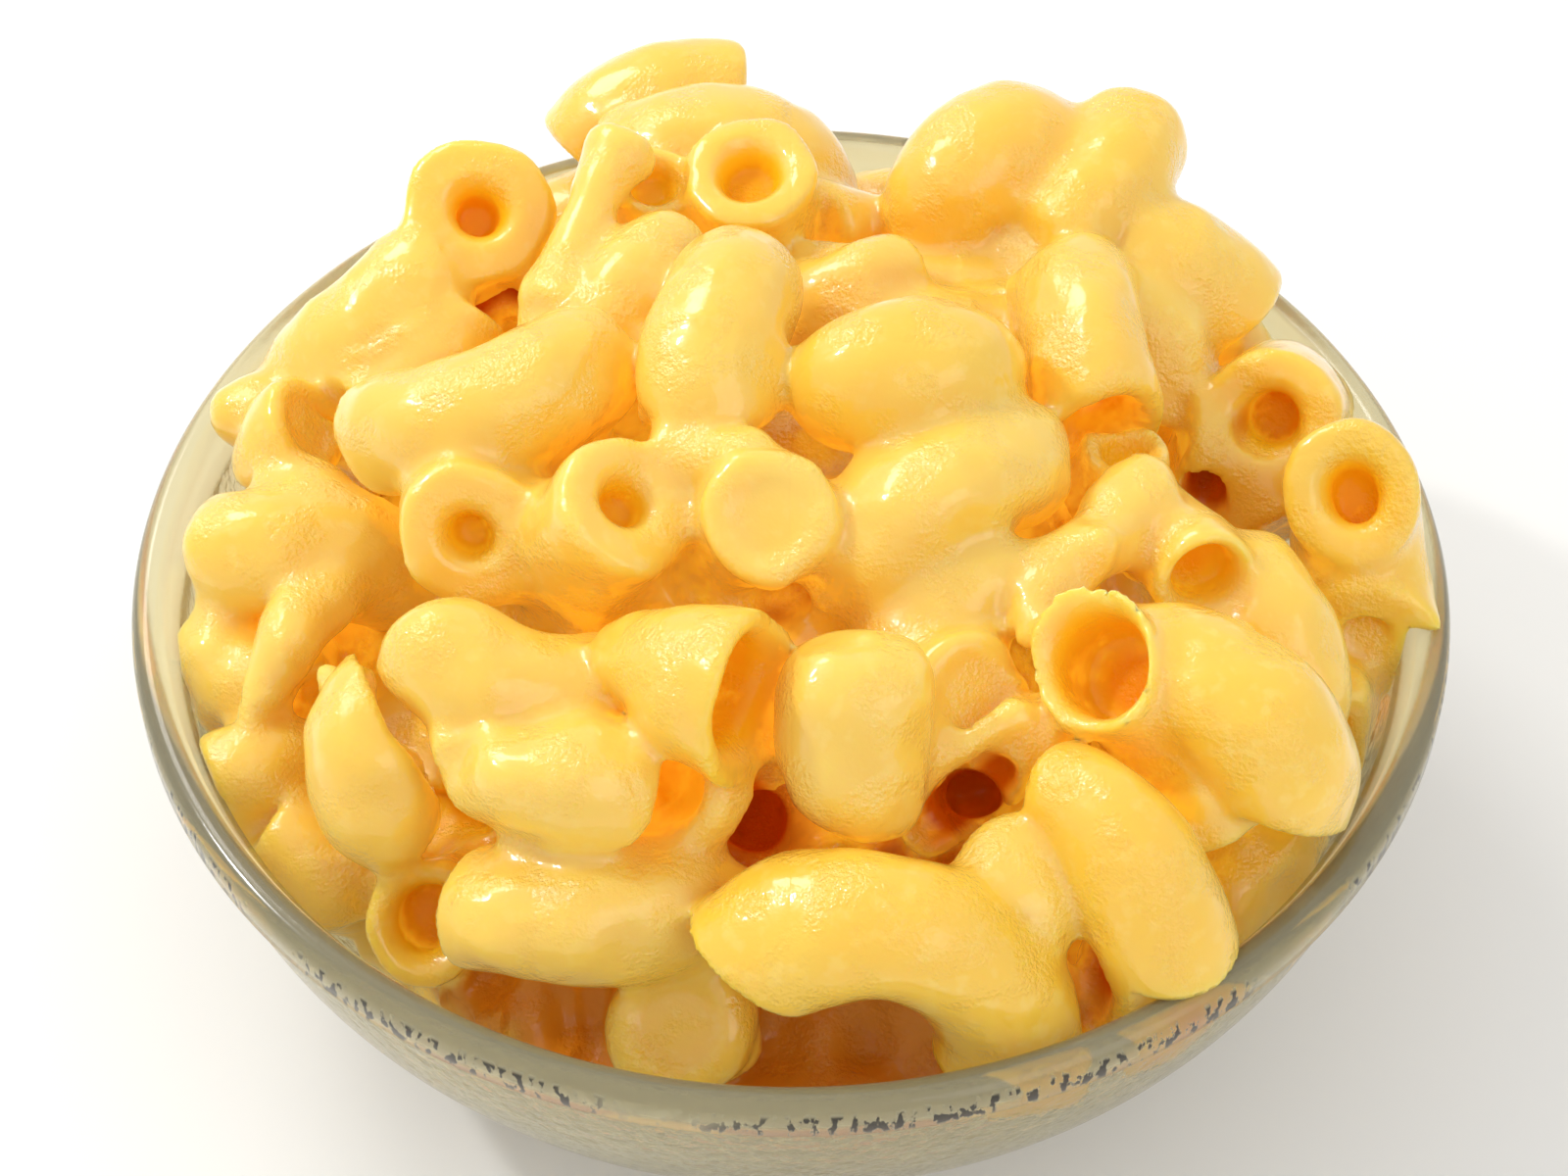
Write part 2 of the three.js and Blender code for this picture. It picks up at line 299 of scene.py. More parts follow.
def smooth_min(a: np.ndarray, b: np.ndarray, reach: float) -> np.ndarray:
    """The lesser of two distances, with a fillet where they come within reach of each other.

    The fillet is (reach - |a - b|)^2 / (4 reach), taken off the lesser one.
    """
    gap = np.clip(reach - np.abs(a - b), 0, None)
    return np.minimum(a, b) - gap * gap / (4 * reach)


def smooth_max(a: np.ndarray, b: np.ndarray, reach: float) -> np.ndarray:
    """The greater of two distances, rounded off where they are within reach of each other."""
    return -smooth_min(-a, -b, reach)


@dataclass
class FoodField:
    """Distance to the food's surface on a grid of points, less than zero inside it."""

    low: Triple
    high: Triple
    step: float
    far: float = 6.0
    value: np.ndarray = field(init=False)
    weight: np.ndarray = field(init=False)
    bare: np.ndarray = field(init=False)
    tone: np.ndarray = field(init=False)
    gap: np.ndarray = field(init=False)  # 1 in and just around the deep gaps, where the material paints shade
    room: np.ndarray = field(init=False)  # 1 in and just around the rooms behind the pieces, where the material paints shade
    skin: np.ndarray = field(init=False)  # the distances before bores and gaps are cut

    def __post_init__(self) -> None:
        """Lay out the grid, empty."""
        counts = [int(round((h - l) / self.step)) + 1 for l, h in zip(self.low, self.high)]
        self.value = np.full(counts, self.far, np.float32)
        self.weight = np.full(counts, 1e-6, np.float32)
        self.bare = np.zeros(counts, np.float32)
        self.tone = np.zeros(counts, np.float32)
        self.gap = np.zeros(counts, np.float32)
        self.room = np.zeros(counts, np.float32)
        self.skin = self.value

    @property
    def origin(self) -> np.ndarray:
        """The grid's lowest corner."""
        return np.array(self.low)

    def window(
        self, low: np.ndarray, high: np.ndarray
    ) -> tuple[tuple[slice, ...], tuple[np.ndarray, ...]]:
        """Find the part of the grid inside a box.

        Args:
            low: the box's lowest corner.
            high: the box's highest corner.

        Returns:
            The slices of the grid, and its x, y and z as arrays that broadcast together.
        """
        first = np.clip(np.floor((low - self.origin) / self.step).astype(int), 0, None)
        last = np.ceil((high - self.origin) / self.step).astype(int) + 1
        last = np.minimum(last, self.value.shape)
        cut = tuple(slice(a, b) for a, b in zip(first, last))
        axes = [self.low[i] + self.step * np.arange(first[i], last[i]) for i in range(3)]
        shapes = ((-1, 1, 1), (1, -1, 1), (1, 1, -1))
        return cut, tuple(a.astype(np.float32).reshape(s) for a, s in zip(axes, shapes))

    def everywhere(self) -> tuple[np.ndarray, ...]:
        """The whole grid's x, y and z as arrays that broadcast together."""
        return self.window(self.origin, np.array(self.high))[1]

    def add(
        self, cut: tuple[slice, ...], distance: np.ndarray, reach: float, bare: float, tone: float
    ) -> None:
        """Join a shape to the food with a fillet of sauce.

        Args:
            cut: the part of the grid that the distances cover.
            distance: distance to the shape there.
            reach: how wide the fillet is.
            bare: how little sauce is on the shape.
            tone: a number from 0 to 1 for the shape's own tint.
        """
        self.value[cut] = smooth_min(self.value[cut], distance, reach)
        pull = np.exp(-5 * np.clip(distance, -1.5, 3)).astype(np.float32)
        self.weight[cut] += pull
        self.bare[cut] += pull * bare
        self.tone[cut] += pull * tone

    def sample(self, grid: np.ndarray, points: np.ndarray) -> np.ndarray:
        """Read a grid between its points, from the eight corners round each place.

        Args:
            grid: the numbers.
            points: the places, one row each.

        Returns:
            A number for each place.
        """
        place = (points - self.origin) / self.step
        limit = np.array(grid.shape) - 2
        corner = np.clip(np.floor(place).astype(int), 0, limit)
        share = np.clip(place - corner, 0, 1)
        total = np.zeros(len(points))
        for dx in (0, 1):
            for dy in (0, 1):
                for dz in (0, 1):
                    offset = np.array([dx, dy, dz])
                    part = np.prod(np.where(offset, share, 1 - share), axis=1)
                    i, j, k = (corner + offset).T
                    total += part * grid[i, j, k]
        return total

    def slope(self, grid: np.ndarray, points: np.ndarray) -> np.ndarray:
        """Direction and rate of increase of a grid, from differences half a step each way.

        Args:
            grid: the numbers.
            points: the places, one row each.

        Returns:
            A vector for each place.
        """
        half = 0.5 * self.step
        shifts = np.eye(3) * half
        ends = [self.sample(grid, points + s) - self.sample(grid, points - s) for s in shifts]
        return np.stack(ends, -1) / (2 * half)


def lattice_noise(shape: Sequence[int], cells: float, seed: int) -> np.ndarray:
    """Smooth random lumps: values at lattice points, blended by 3t^2 - 2t^3 along each axis.

    Args:
        shape: the grid's size.
        cells: grid steps between lattice points.
        seed: what fixes the draw.

    Returns:
        Numbers of about -1 to 1 on the grid.
    """
    draw = np.random.default_rng(seed)
    out = draw.uniform(-1, 1, [int(n / cells) + 3 for n in shape]).astype(np.float32)
    for axis, count in enumerate(shape):
        place = np.arange(count) / cells
        before = np.floor(place).astype(int)
        share = (place - before).astype(np.float32)
        share = share * share * (3 - 2 * share)
        share = share.reshape([-1 if i == axis else 1 for i in range(3)])
        out = np.take(out, before, axis) * (1 - share) + np.take(out, before + 1, axis) * share
    return out


def box_blur(grid: np.ndarray, reach: int) -> np.ndarray:
    """Mean of a grid over a box of reach steps each way, from running totals.

    Args:
        grid: the numbers.
        reach: how many steps the box goes each way.

    Returns:
        The blurred grid.
    """
    for axis in range(3):
        pad = [(reach + 1, reach) if i == axis else (0, 0) for i in range(3)]
        total = np.cumsum(np.pad(grid, pad, mode="edge"), axis=axis, dtype=np.float64)
        high = np.take(total, np.arange(2 * reach + 1, total.shape[axis]), axis)
        low = np.take(total, np.arange(0, total.shape[axis] - 2 * reach - 1), axis)
        grid = (high - low) / (2 * reach + 1)
    return grid.astype(np.float32)


CORNERS = np.array([[i >> 2 & 1, i >> 1 & 1, i & 1] for i in range(8)])
CELL_EDGES = [(a, b) for a in range(8) for b in range(8) if a < b and bin(a ^ b).count("1") == 1]


def surface_net(value: np.ndarray, low: np.ndarray, step: float) -> tuple[np.ndarray, np.ndarray]:
    """Skin the zero level of a grid with quads.

    Each grid cell that the level passes through gets one point, the mean of the crossings on its
    twelve edges, and each grid edge that crosses the level gets the quad of its four cells.

    Args:
        value: distances on the grid, less than zero inside.
        low: place of the grid's first point.
        step: grid spacing.

    Returns:
        The points, and the quads facing outwards.
    """
    inside = value < 0
    size = np.array(value.shape)
    count = np.zeros(size - 1, np.uint8)
    for x, y, z in CORNERS:
        count += inside[x : size[0] - 1 + x, y : size[1] - 1 + y, z : size[2] - 1 + z]
    cells = np.argwhere((count > 0) & (count < 8))
    number = np.full(size - 1, -1, np.int64)
    number[tuple(cells.T)] = np.arange(len(cells))
    corner = [value[tuple((cells + c).T)] for c in CORNERS]
    total = np.zeros((len(cells), 3))
    crossings = np.zeros(len(cells))
    for a, b in CELL_EDGES:
        crossed = (corner[a] < 0) != (corner[b] < 0)
        drop = np.where(crossed, corner[a] - corner[b], 1)
        share = np.where(crossed, corner[a] / drop, 0)[:, None]
        place = CORNERS[a] + share * (CORNERS[b] - CORNERS[a])
        total += place * crossed[:, None]
        crossings += crossed
    points = low + step * (cells + total / crossings[:, None])
    quads = []
    for axis in range(3):
        one, two = [i for i in range(3) if i != axis]
        near = [slice(1, -1)] * 3
        near[axis] = slice(0, -1)
        far = list(near)
        far[axis] = slice(1, None)
        change = inside[tuple(near)] != inside[tuple(far)]
        edge = np.argwhere(change)
        edge[:, [one, two]] += 1
        leaving = inside[tuple(edge.T)]
        steps = np.zeros((4, 3), int)
        steps[1, one] = steps[2, one] = steps[2, two] = steps[3, two] = -1
        around = np.stack([number[tuple((edge + s).T)] for s in steps], -1)
        flip = leaving if axis == 1 else ~leaving
        quads.append(np.where(flip[:, None], around[:, ::-1], around))
    return points, np.vstack(quads)


def body_labels(count: int, quads: np.ndarray) -> np.ndarray:
    """Number the separate bodies of a mesh.

    Each point takes the least label among its neighbours' and then its label's own label, over
    and over, until nothing changes.

    Args:
        count: how many points there are.
        quads: the faces that join them.

    Returns:
        A label for each point, the same all over one body.
    """
    label = np.arange(count)
    ends = np.vstack([quads[:, [i, (i + 1) % 4]] for i in range(4)])
    while True:
        least = label.copy()
        low = np.minimum(label[ends[:, 0]], label[ends[:, 1]])
        np.minimum.at(least, ends[:, 0], low)
        np.minimum.at(least, ends[:, 1], low)
        least = least[least]
        least = least[least]
        if np.array_equal(least, label):
            return label
        label = least


# A bareness below zero that marks what lies under the pieces that show, where little light gets; the
# material paints shade there.
BURIED = -1.0

# The macaroni that shows, and a few pieces that fill in under it. Heights are above the rim.
SHOWN = (
    Elbow("back left far", (-15.5, 36.5, 3.5), (-11, 38.5, 6.5), (-5, 40, 6), 4.6, bare=0.6),
    Elbow("back left near", (-11.5, 31, 7.5), (-4, 31.5, 9.5), (1, 31, 4.5), 4.5, bare=0.5),
    Elbow(
        "back right hood", (11, 25.5, 8), (12.5, 26.5, 11.5), (17.5, 30, 8), 4.6,
        end=End.OPEN, bore=0.42, bare=0.7,
    ),
    Elbow(
        "back right lobe", (24.5, 31.5, 10.5), (21.5, 25.5, 10.5), (17.5, 22, 8.5), 4.5,
        bare=0.7, lip=2.5,
    ),
    Elbow("right back", (24, 23, 7), (28.5, 21.5, 5.5), (31.5, 20.5, 2.5), 4.8, bare=0.5),
    Elbow("ridge mid", (8, 21, 5.5), (12.5, 19.5, 5.5), (17, 19.5, 4), 3.6),
    Elbow("ridge right", (24, 17.5, 5.5), (25.5, 16, 4.5), (26, 13.5, 1), 4),
    Elbow(
        "hood", (21, 3.5, 9), (20, 6.5, 12), (20.5, 16, 5), 4.5,
        end=End.OPEN, bore=0.5, bare=0.5, mouth_slant=(0, -0.6, 0.5), bore_depth=5, lip=0.8,
    ),
    Elbow(
        "leaf", (2, 2.5, 12.5), (6, 1, 15.5), (12.5, 4.5, 12.5), 4.7,
        bare=0.9, taper=(0.72, 1.05, 0.6), lip=2,
    ),
    Elbow("torn lip", (8, 18, 10), (5, 16, 10.5), (1.5, 16, 9), 2.6, end=End.OPEN, bore=0.5, bare=0.4),
    Elbow("back mid", (2, 24.5, 8), (3.5, 25.5, 7), (6, 26.5, 4.5), 3),
    Elbow(
        "top cup", (-3, 23.5, 14), (-3, 24, 8), (-3, 24, 2), 4.7,
        end=End.OPEN, bore=0.42, bare=0.6, flare=0.4, bore_depth=2.5,
    ),
    Elbow(
        "top small", (-10, 24, 13), (-10.5, 24.5, 9.5), (-11, 24.5, 6), 3.2,
        end=End.OPEN, bore=0.45, bare=0.5, bore_depth=2,
    ),
    Elbow(
        "stalk", (-12, 25.5, 15.5), (-14.5, 19.5, 14), (-17, 11, 12), 2.2,
        bare=0.1, lip=1.5, taper=(1.2, 0.8, 1.1),
    ),
    Elbow("mid back", (-8, 18, 11), (-11.5, 13.5, 11.5), (-16.5, 9, 8), 4, bare=0.3, lip=2.5),
    Elbow(
        "upper left", (-22, 21.5, 12), (-23.5, 23.5, 6.5), (-29, 19, -1), 5.2,
        end=End.OPEN, bore=0.3, bare=0.7, flare=0.3, bore_depth=3.2,
    ),
    Elbow("diag left", (-26.5, 3.5, 8.5), (-21, 1, 12), (-14.5, 6.5, 11.5), 4.5, bare=0.4, lip=0.5),
    Elbow(
        "ring left", (-20.5, -8, 10.5), (-20, -1, 6.5), (-15.5, 8, 5.5), 4.8,
        end=End.OPEN, bore=0.26, bare=0.4, bore_depth=2.4,
    ),
    Elbow("left cup", (-33.5, 7.5, 5), (-35, 7.5, 3.5), (-35.5, 6.5, 1), 3.7, end=End.SAUCED, bare=0.6),
    Elbow(
        "left tip", (-40.5, 12, 0.5), (-38.5, 12, 1), (-35.5, 13.5, -2), 3.5,
        bare=0.7, taper=(0.5, 1, 1),
    ),
    Elbow(
        "left ring", (-40, -1.5, 1.5), (-37, -2, 2.5), (-32, -1.5, 0), 4.1,
        bare=0.5, taper=(0.9, 1, 0.9), lip=3,
    ),
    Elbow(
        "left low", (-39.5, -6, -3.5), (-36.5, -9, -3), (-34, -10.5, -4), 3.2,
        end=End.OPEN, bore=0.5, bare=0.3,
    ),
    Elbow("centre left", (-23.5, -15, 10), (-19, -18.5, 8.5), (-10.5, -15.5, 4), 4.3, bare=0.4, lip=3),
    Elbow(
        "twin left", (-10, -9, 14), (-12.5, -7.5, 9), (-13.5, -5, 2), 4.8,
        end=End.OPEN, bore=0.3, bare=0.4, bore_depth=2.6,
    ),
    Elbow(
        "twin right", (-1.5, -10, 15), (-3.5, -5.5, 8), (-7, -4, 3), 4.4,
        end=End.SAUCED, bore=0.4, bare=0.2,
    ),
    Elbow("crown", (-3.5, 11.5, 13.5), (-5.5, 3.5, 15), (-6, 0, 12), 4.8, bare=0.5, lip=3),
    Elbow("long mid", (15, -0.5, 9), (9, -6, 12), (4, -8, 8), 4.6, bare=0.15, lip=3),
    Elbow(
        "small ring", (22.5, 0.5, 10), (22, 0.5, 7.5), (20, 0.5, 4), 3.1,
        end=End.OPEN, bore=0.46, bare=0.4, bore_depth=1.8,
    ),
    Elbow(
        "torn right", (27, -10.5, 8.5), (26, -6.5, 7), (23.5, -2.5, 4.5), 3.3,
        end=End.OPEN, bore=0.6, bare=0.2, bore_depth=3, mouth_slant=(0, -0.3, 0.3),
    ),
    Elbow(
        "right ring", (37, -2, 8), (38.5, -0.5, 2.5), (39, -7, -1), 4.9,
        end=End.OPEN, bore=0.36, bare=0.8, bore_depth=3,
    ),
    Elbow(
        "right back ring", (33.5, 9, 4), (35, 13, 0), (37, 16.5, -5), 4.7,
        end=End.OPEN, bore=0.36, bare=0.8, bore_depth=3,
    ),
    Elbow("right mid", (29.5, -6.5, 4), (32.5, -11, 4), (33, -13.5, -1), 3.8),
    Elbow(
        "right arch", (23, -17, 7), (28, -20.5, 9), (31, -22.5, 1), 4.6,
        bare=0.8, lip=0.4, tail_slant=(0, -0.8, 0.2),
    ),
    Elbow(
        "front cup", (18.5, -19.5, 12), (21, -18.5, 8.5), (24, -16, 3), 4.6,
        end=End.OPEN, bore=0.74, bare=0.3, bore_depth=5.5, lip=0.4, mouth_slant=(-0.4, -0.55, 0.6),
    ),
    Elbow(
        "right front arch", (15.5, -25, 6), (19.5, -28, 6), (21, -31.5, -7), 4.4,
        bare=0.9, taper=(0.6, 1.05, 0.95),
    ),
    Elbow("bump", (12.5, -28.5, 3), (14, -30.5, 3), (15.5, -31, 0), 3.2),
    Elbow(
        "front arch", (-2.5, -34.5, 1), (5, -34, 4), (13.5, -35.5, -8), 4.5,
        bare=1, mouth_slant=(-0.3, -0.5, -0.7), lip=0.4,
    ),
    Elbow(
        "post", (4.5, -20, 14.5), (4, -22.5, 9.5), (3, -26.5, 3), 4.8,
        bare=0.3, lip=4.7, taper=(1.06, 0.96, 0.9),
    ),
    Elbow(
        "shell", (-2, -22.5, 11.5), (-6.5, -20.5, 12), (-12, -17, 10), 5.5,
        end=End.OPEN, bore=0.66, bare=0.6, mouth_slant=(0.3, -0.2, 0.5),
        taper=(1.1, 0.78, 0.25), bore_depth=5, lip=0.5,
    ),
    Elbow(
        "shell under", (-9, -23.5, 4.5), (-6, -24, 4), (-4, -22.5, 0), 3.6,
        end=End.OPEN, bore=0.5, bare=0.2, mouth_slant=(0, -1, 1.2), bore_depth=1.6, lip=1.2,
    ),
    Elbow(
        "broken", (-10, -25, 6), (-14, -25.5, 7.5), (-19, -24, 5), 3.8,
        bare=0.1, lip=1.4, taper=(1.1, 1, 0.7),
    ),
    Elbow(
        "left post", (-25.5, -17.5, 4.5), (-26.5, -21.5, 3), (-25.5, -22.5, -1.5), 4.4,
        end=End.OPEN, bore=0.66, bare=0.4, taper=(1, 1, 0.8), lip=0.7,
        mouth_slant=(0.5, -0.5, 0.5), bore_depth=4,
    ),
    Elbow(
        "wall left up", (-37.5, -16, -5), (-34.5, -15.5, -4.5), (-32, -14, -8), 3.6,
        end=End.OPEN, bore=0.5, bare=0.6,
    ),
    Elbow("wall left low", (-35, -18.5, -9), (-32, -20, -9.5), (-29, -19, -12), 3.8),
    Elbow(
        "front left ring", (-23.5, -28, -5), (-23, -24.5, -8), (-22, -20, -11), 4.2,
        end=End.OPEN, bore=0.5, bare=0.7, bore_depth=3, mouth_slant=(0.2, -0.5, 0.4),
    ),
    Elbow("front left", (-19.5, -29, -2), (-13, -30.5, 0), (-5.5, -26.5, -3), 4.4, bare=0.2),
    Elbow(
        "front end", (-7, -35, -5.5), (-6.5, -31.5, -10), (-6, -27.5, -15), 4.9,
        end=End.SAUCED, bare=0.6, lip=2.5,
    ),
    Elbow("gap piece", (19.5, -27.5, -9.5), (20, -28.5, -11), (20, -29.5, -14.5), 2.6),
    Elbow("under arch", (28, -22.5, -5), (28.5, -23, -8.5), (28.5, -23, -13), 3.2),
    Elbow(
        "frill ring", (11.5, -19, 8), (10, -16.5, 5.5), (9.5, -11, 0), 4,
        end=End.SAUCED, bare=0.1, lip=1,
    ),
    Elbow(
        "small end", (9, -24, 2), (10, -19.5, -2), (11.5, -14.5, -6), 2.6,
        end=End.OPEN, bore=0.5, bare=0.2, bore_depth=1.5,
    ),
    Elbow("sliver", (16, -20, 4.5), (14, -21.5, 4), (13, -21.5, 1.5), 2.3),
    Elbow(
        "right low ring", (39, -7.5, -7), (37.5, -5, -8.5), (36.5, -1, -12), 3.4,
        end=End.OPEN, bore=0.5, bare=0.8,
    ),
    Elbow("left frill", (-28.5, -20.5, -5), (-27.5, -21, -6.5), (-26.5, -21.5, -8.5), 2.2),
    Elbow("under upper left", (-34, 12, -4), (-29, 21, -3), (-20, 28, -3), 4.6),
    Elbow("back left low", (-23, 32, -4), (-14, 35, -2), (-4, 37, -5), 4.5),
    Elbow("back right low", (3, 36, -5), (11, 34, -1), (19, 31, -4), 4.6),
    Elbow("right back low", (22, 29, -3), (29, 25, -2), (33, 17, -6), 4.5),
    Elbow("behind crown", (-18, 18, 4), (-10, 22, 5), (-2, 20, 4), 4.4),
    Elbow("behind leaf", (0, 17, 6), (8, 13, 7), (14, 14, 5), 4.4),
    Elbow("broken low", (-17, -26, 1.5), (-13.5, -27, 2), (-10, -24.5, -1), 3, bare=0.1, lip=2),
    Elbow("twin fill", (-7, -7.5, 6), (-11, -7, 4), (-16, -5, 3), 4.2),
    Elbow("mid fill", (13, -6, 7), (10, -10.5, 6.5), (8, -15, 4), 4.6, bare=0.1, lip=3),
    Elbow("flank fill", (-23.5, 17, 5.5), (-26, 13.5, 4), (-29.5, 10.5, 2), 4.4),
    Elbow("left flank", (-26, 19.5, 7), (-30, 16, 5), (-33.5, 16.5, 0), 4.4),
    Elbow("left under", (-34.5, 3, 1), (-31, -0.5, 1), (-27.5, -0.5, -2), 4.2),
    Elbow("right fill", (27.5, 10.5, 0), (31.5, 9.5, -1.5), (35, 5.5, -4), 4.4),
    # Its bareness below zero makes the material paint shade on it, as on the buried pieces.
    Elbow("right arch in", (22.5, -18, 3), (24.5, -21, 3), (27, -23.5, 0.5), 4.2, bare=-0.8),
    Elbow("left edge low", (-33, -19, -7), (-31, -20.5, -8), (-30, -21, -10), 4),
)

# Deep gaps between the pieces: the two ends and the radius of the room that is left clear.
GAPS: tuple[tuple[Triple, Triple, float], ...] = (
    ((-1, -10.5, 6.5), (1, -10, 7.5), 1.3),  # under the twins
    ((-1, -24, 5), (-3.5, -25.5, -1), 1.3),  # left of the post
    ((-2, -26, 3), (-2.5, -20.5, -3), 1.8),  # left of the post, deeper
    ((12.5, -23.5, 4.5), (9.5, -26, 1), 1.4),  # right of the post
    ((11.5, -24.5, 3), (11.5, -19.5, -2), 1.8),  # right of the post, deeper
    ((18, -33, -0.5), (18.5, -35, -4), 1.6),  # between the arches
    ((29.5, 10, 2), (28.5, 5, -1), 1.5),  # right
    ((-19, 21, 6), (-23, 18.5, 4), 1.3),  # upper left
    ((-13.5, 15.5, 9.5), (-12.5, 14.5, 8), 0.9),  # beside the crown
    ((-14.5, 5, 6), (-16.5, 2, 4), 1.2),  # under the diagonal
    ((-31.5, 4.5, 1), (-38, 5, 0), 1),  # left
    ((-19.5, -25.5, -1), (-19, -23.5, -4), 1.3),  # in the front left
)

# Room in front of the lower rows and the core, for the pieces that show there.
ROOMS: tuple[tuple[Triple, Triple, float], ...] = (
    ((-12.5, -32, -9), (8, -34.5, -9.5), 5.2),  # front
    ((-25.5, -28.5, -6), (-21, -29.5, -7), 4.5),  # front left
    ((18, -30.5, -4), (19.5, -33, -8), 3),  # between the arches
    ((12.5, -23, 4), (9, -25, 1), 3.2),  # right of the post
    ((-1, -23.5, 4), (-3.5, -25.5, -1), 2.8),  # left of the post
)

# Strings and ridges of sauce: two ends, and the radius at each.
STRINGS: tuple[tuple[Triple, Triple, float, float], ...] = (
    ((-21, -23, 8), (-16.5, -24.5, 9), 0.9, 0.8),
    ((-14.5, -27.5, 5), (-10, -26.5, 6), 0.8, 0.7),
    ((-10, -26.5, 6), (-9, -24, 7), 0.7, 0.7),
    ((-30, -14.5, 4), (-28.5, -22, 2.5), 0.7, 0.9),
    ((-15, 3.5, 7.5), (-17, -1.5, 5.5), 2.4, 2.2),
    ((-20, -8, 6), (-16, -8, 5.5), 1.2, 1.4),
    ((16, 21.5, 8.5), (17, 20.5, 8.5), 1.8, 1.8),
    ((-7.5, -3.5, 13), (-3.5, -5, 14.5), 2.4, 2.2),
    ((-13, 3.5, 10), (-10, 8, 12), 0.7, 0.6),
    ((-14, 10, 10), (-10.5, 10, 12), 0.6, 0.5),
    ((-34, 1, 1.5), (-28.5, 0.5, 1), 0.6, 0.8),
    ((14, -20.5, 7.5), (8, -23.5, 5), 1, 0.9),
    ((-21, -22, 7), (-18.5, -26, 6), 0.9, 0.8),
    ((-18.5, -26, 6), (-14.5, -27.5, 5), 0.8, 0.8),
    ((23, -5.5, 9.5), (31, -8.5, 7), 1, 0.8),
    ((2.5, -9.5, 8), (12, -10.5, 9), 2, 2.2),
    ((12, -10.5, 9), (19.5, -9.5, 11), 2.2, 1.4),
    ((6.5, 18.5, 10.5), (1.5, 19.5, 9.5), 1.1, 0.8),
    ((-11.5, 25.5, 15.5), (-11, 23, 14.5), 0.7, 0.6),
    ((23, -4, 9.5), (16.5, -12, 9.5), 2.9, 1.8),
    ((16.5, -12, 9.5), (15, -15.5, 9.5), 1.8, 1),
    ((-30.5, -3.5, 1.5), (-33, -9.5, 2), 2.5, 2.1),
    ((-33, -9.5, 2), (-35.5, -14, -0.5), 2.1, 0.9),
    ((-38.5, -4, 0.5), (-39, -8, -0.5), 1.4, 1),
    ((-21.5, 1, 8), (-26.5, 5.5, 8.5), 0.8, 1.2),
    ((15.5, 14, 11), (18, 15, 11.5), 0.8, 0.7),
    ((-18, 8.5, 11), (-14, 9.5, 12), 0.6, 0.6),
    ((-7.5, 7, 15), (-9.5, 1, 12.5), 0.6, 0.7),
    ((23.5, -14.5, 9), (28.5, -15.5, 9.5), 0.8, 0.8),
)


@dataclass(frozen=True)
class WallRow:
    """A ring of macaroni that lies along the inner wall."""

    depth: float
    count: int
    left_out: tuple[int, ...] = ()  # where pieces that show lie against the wall instead


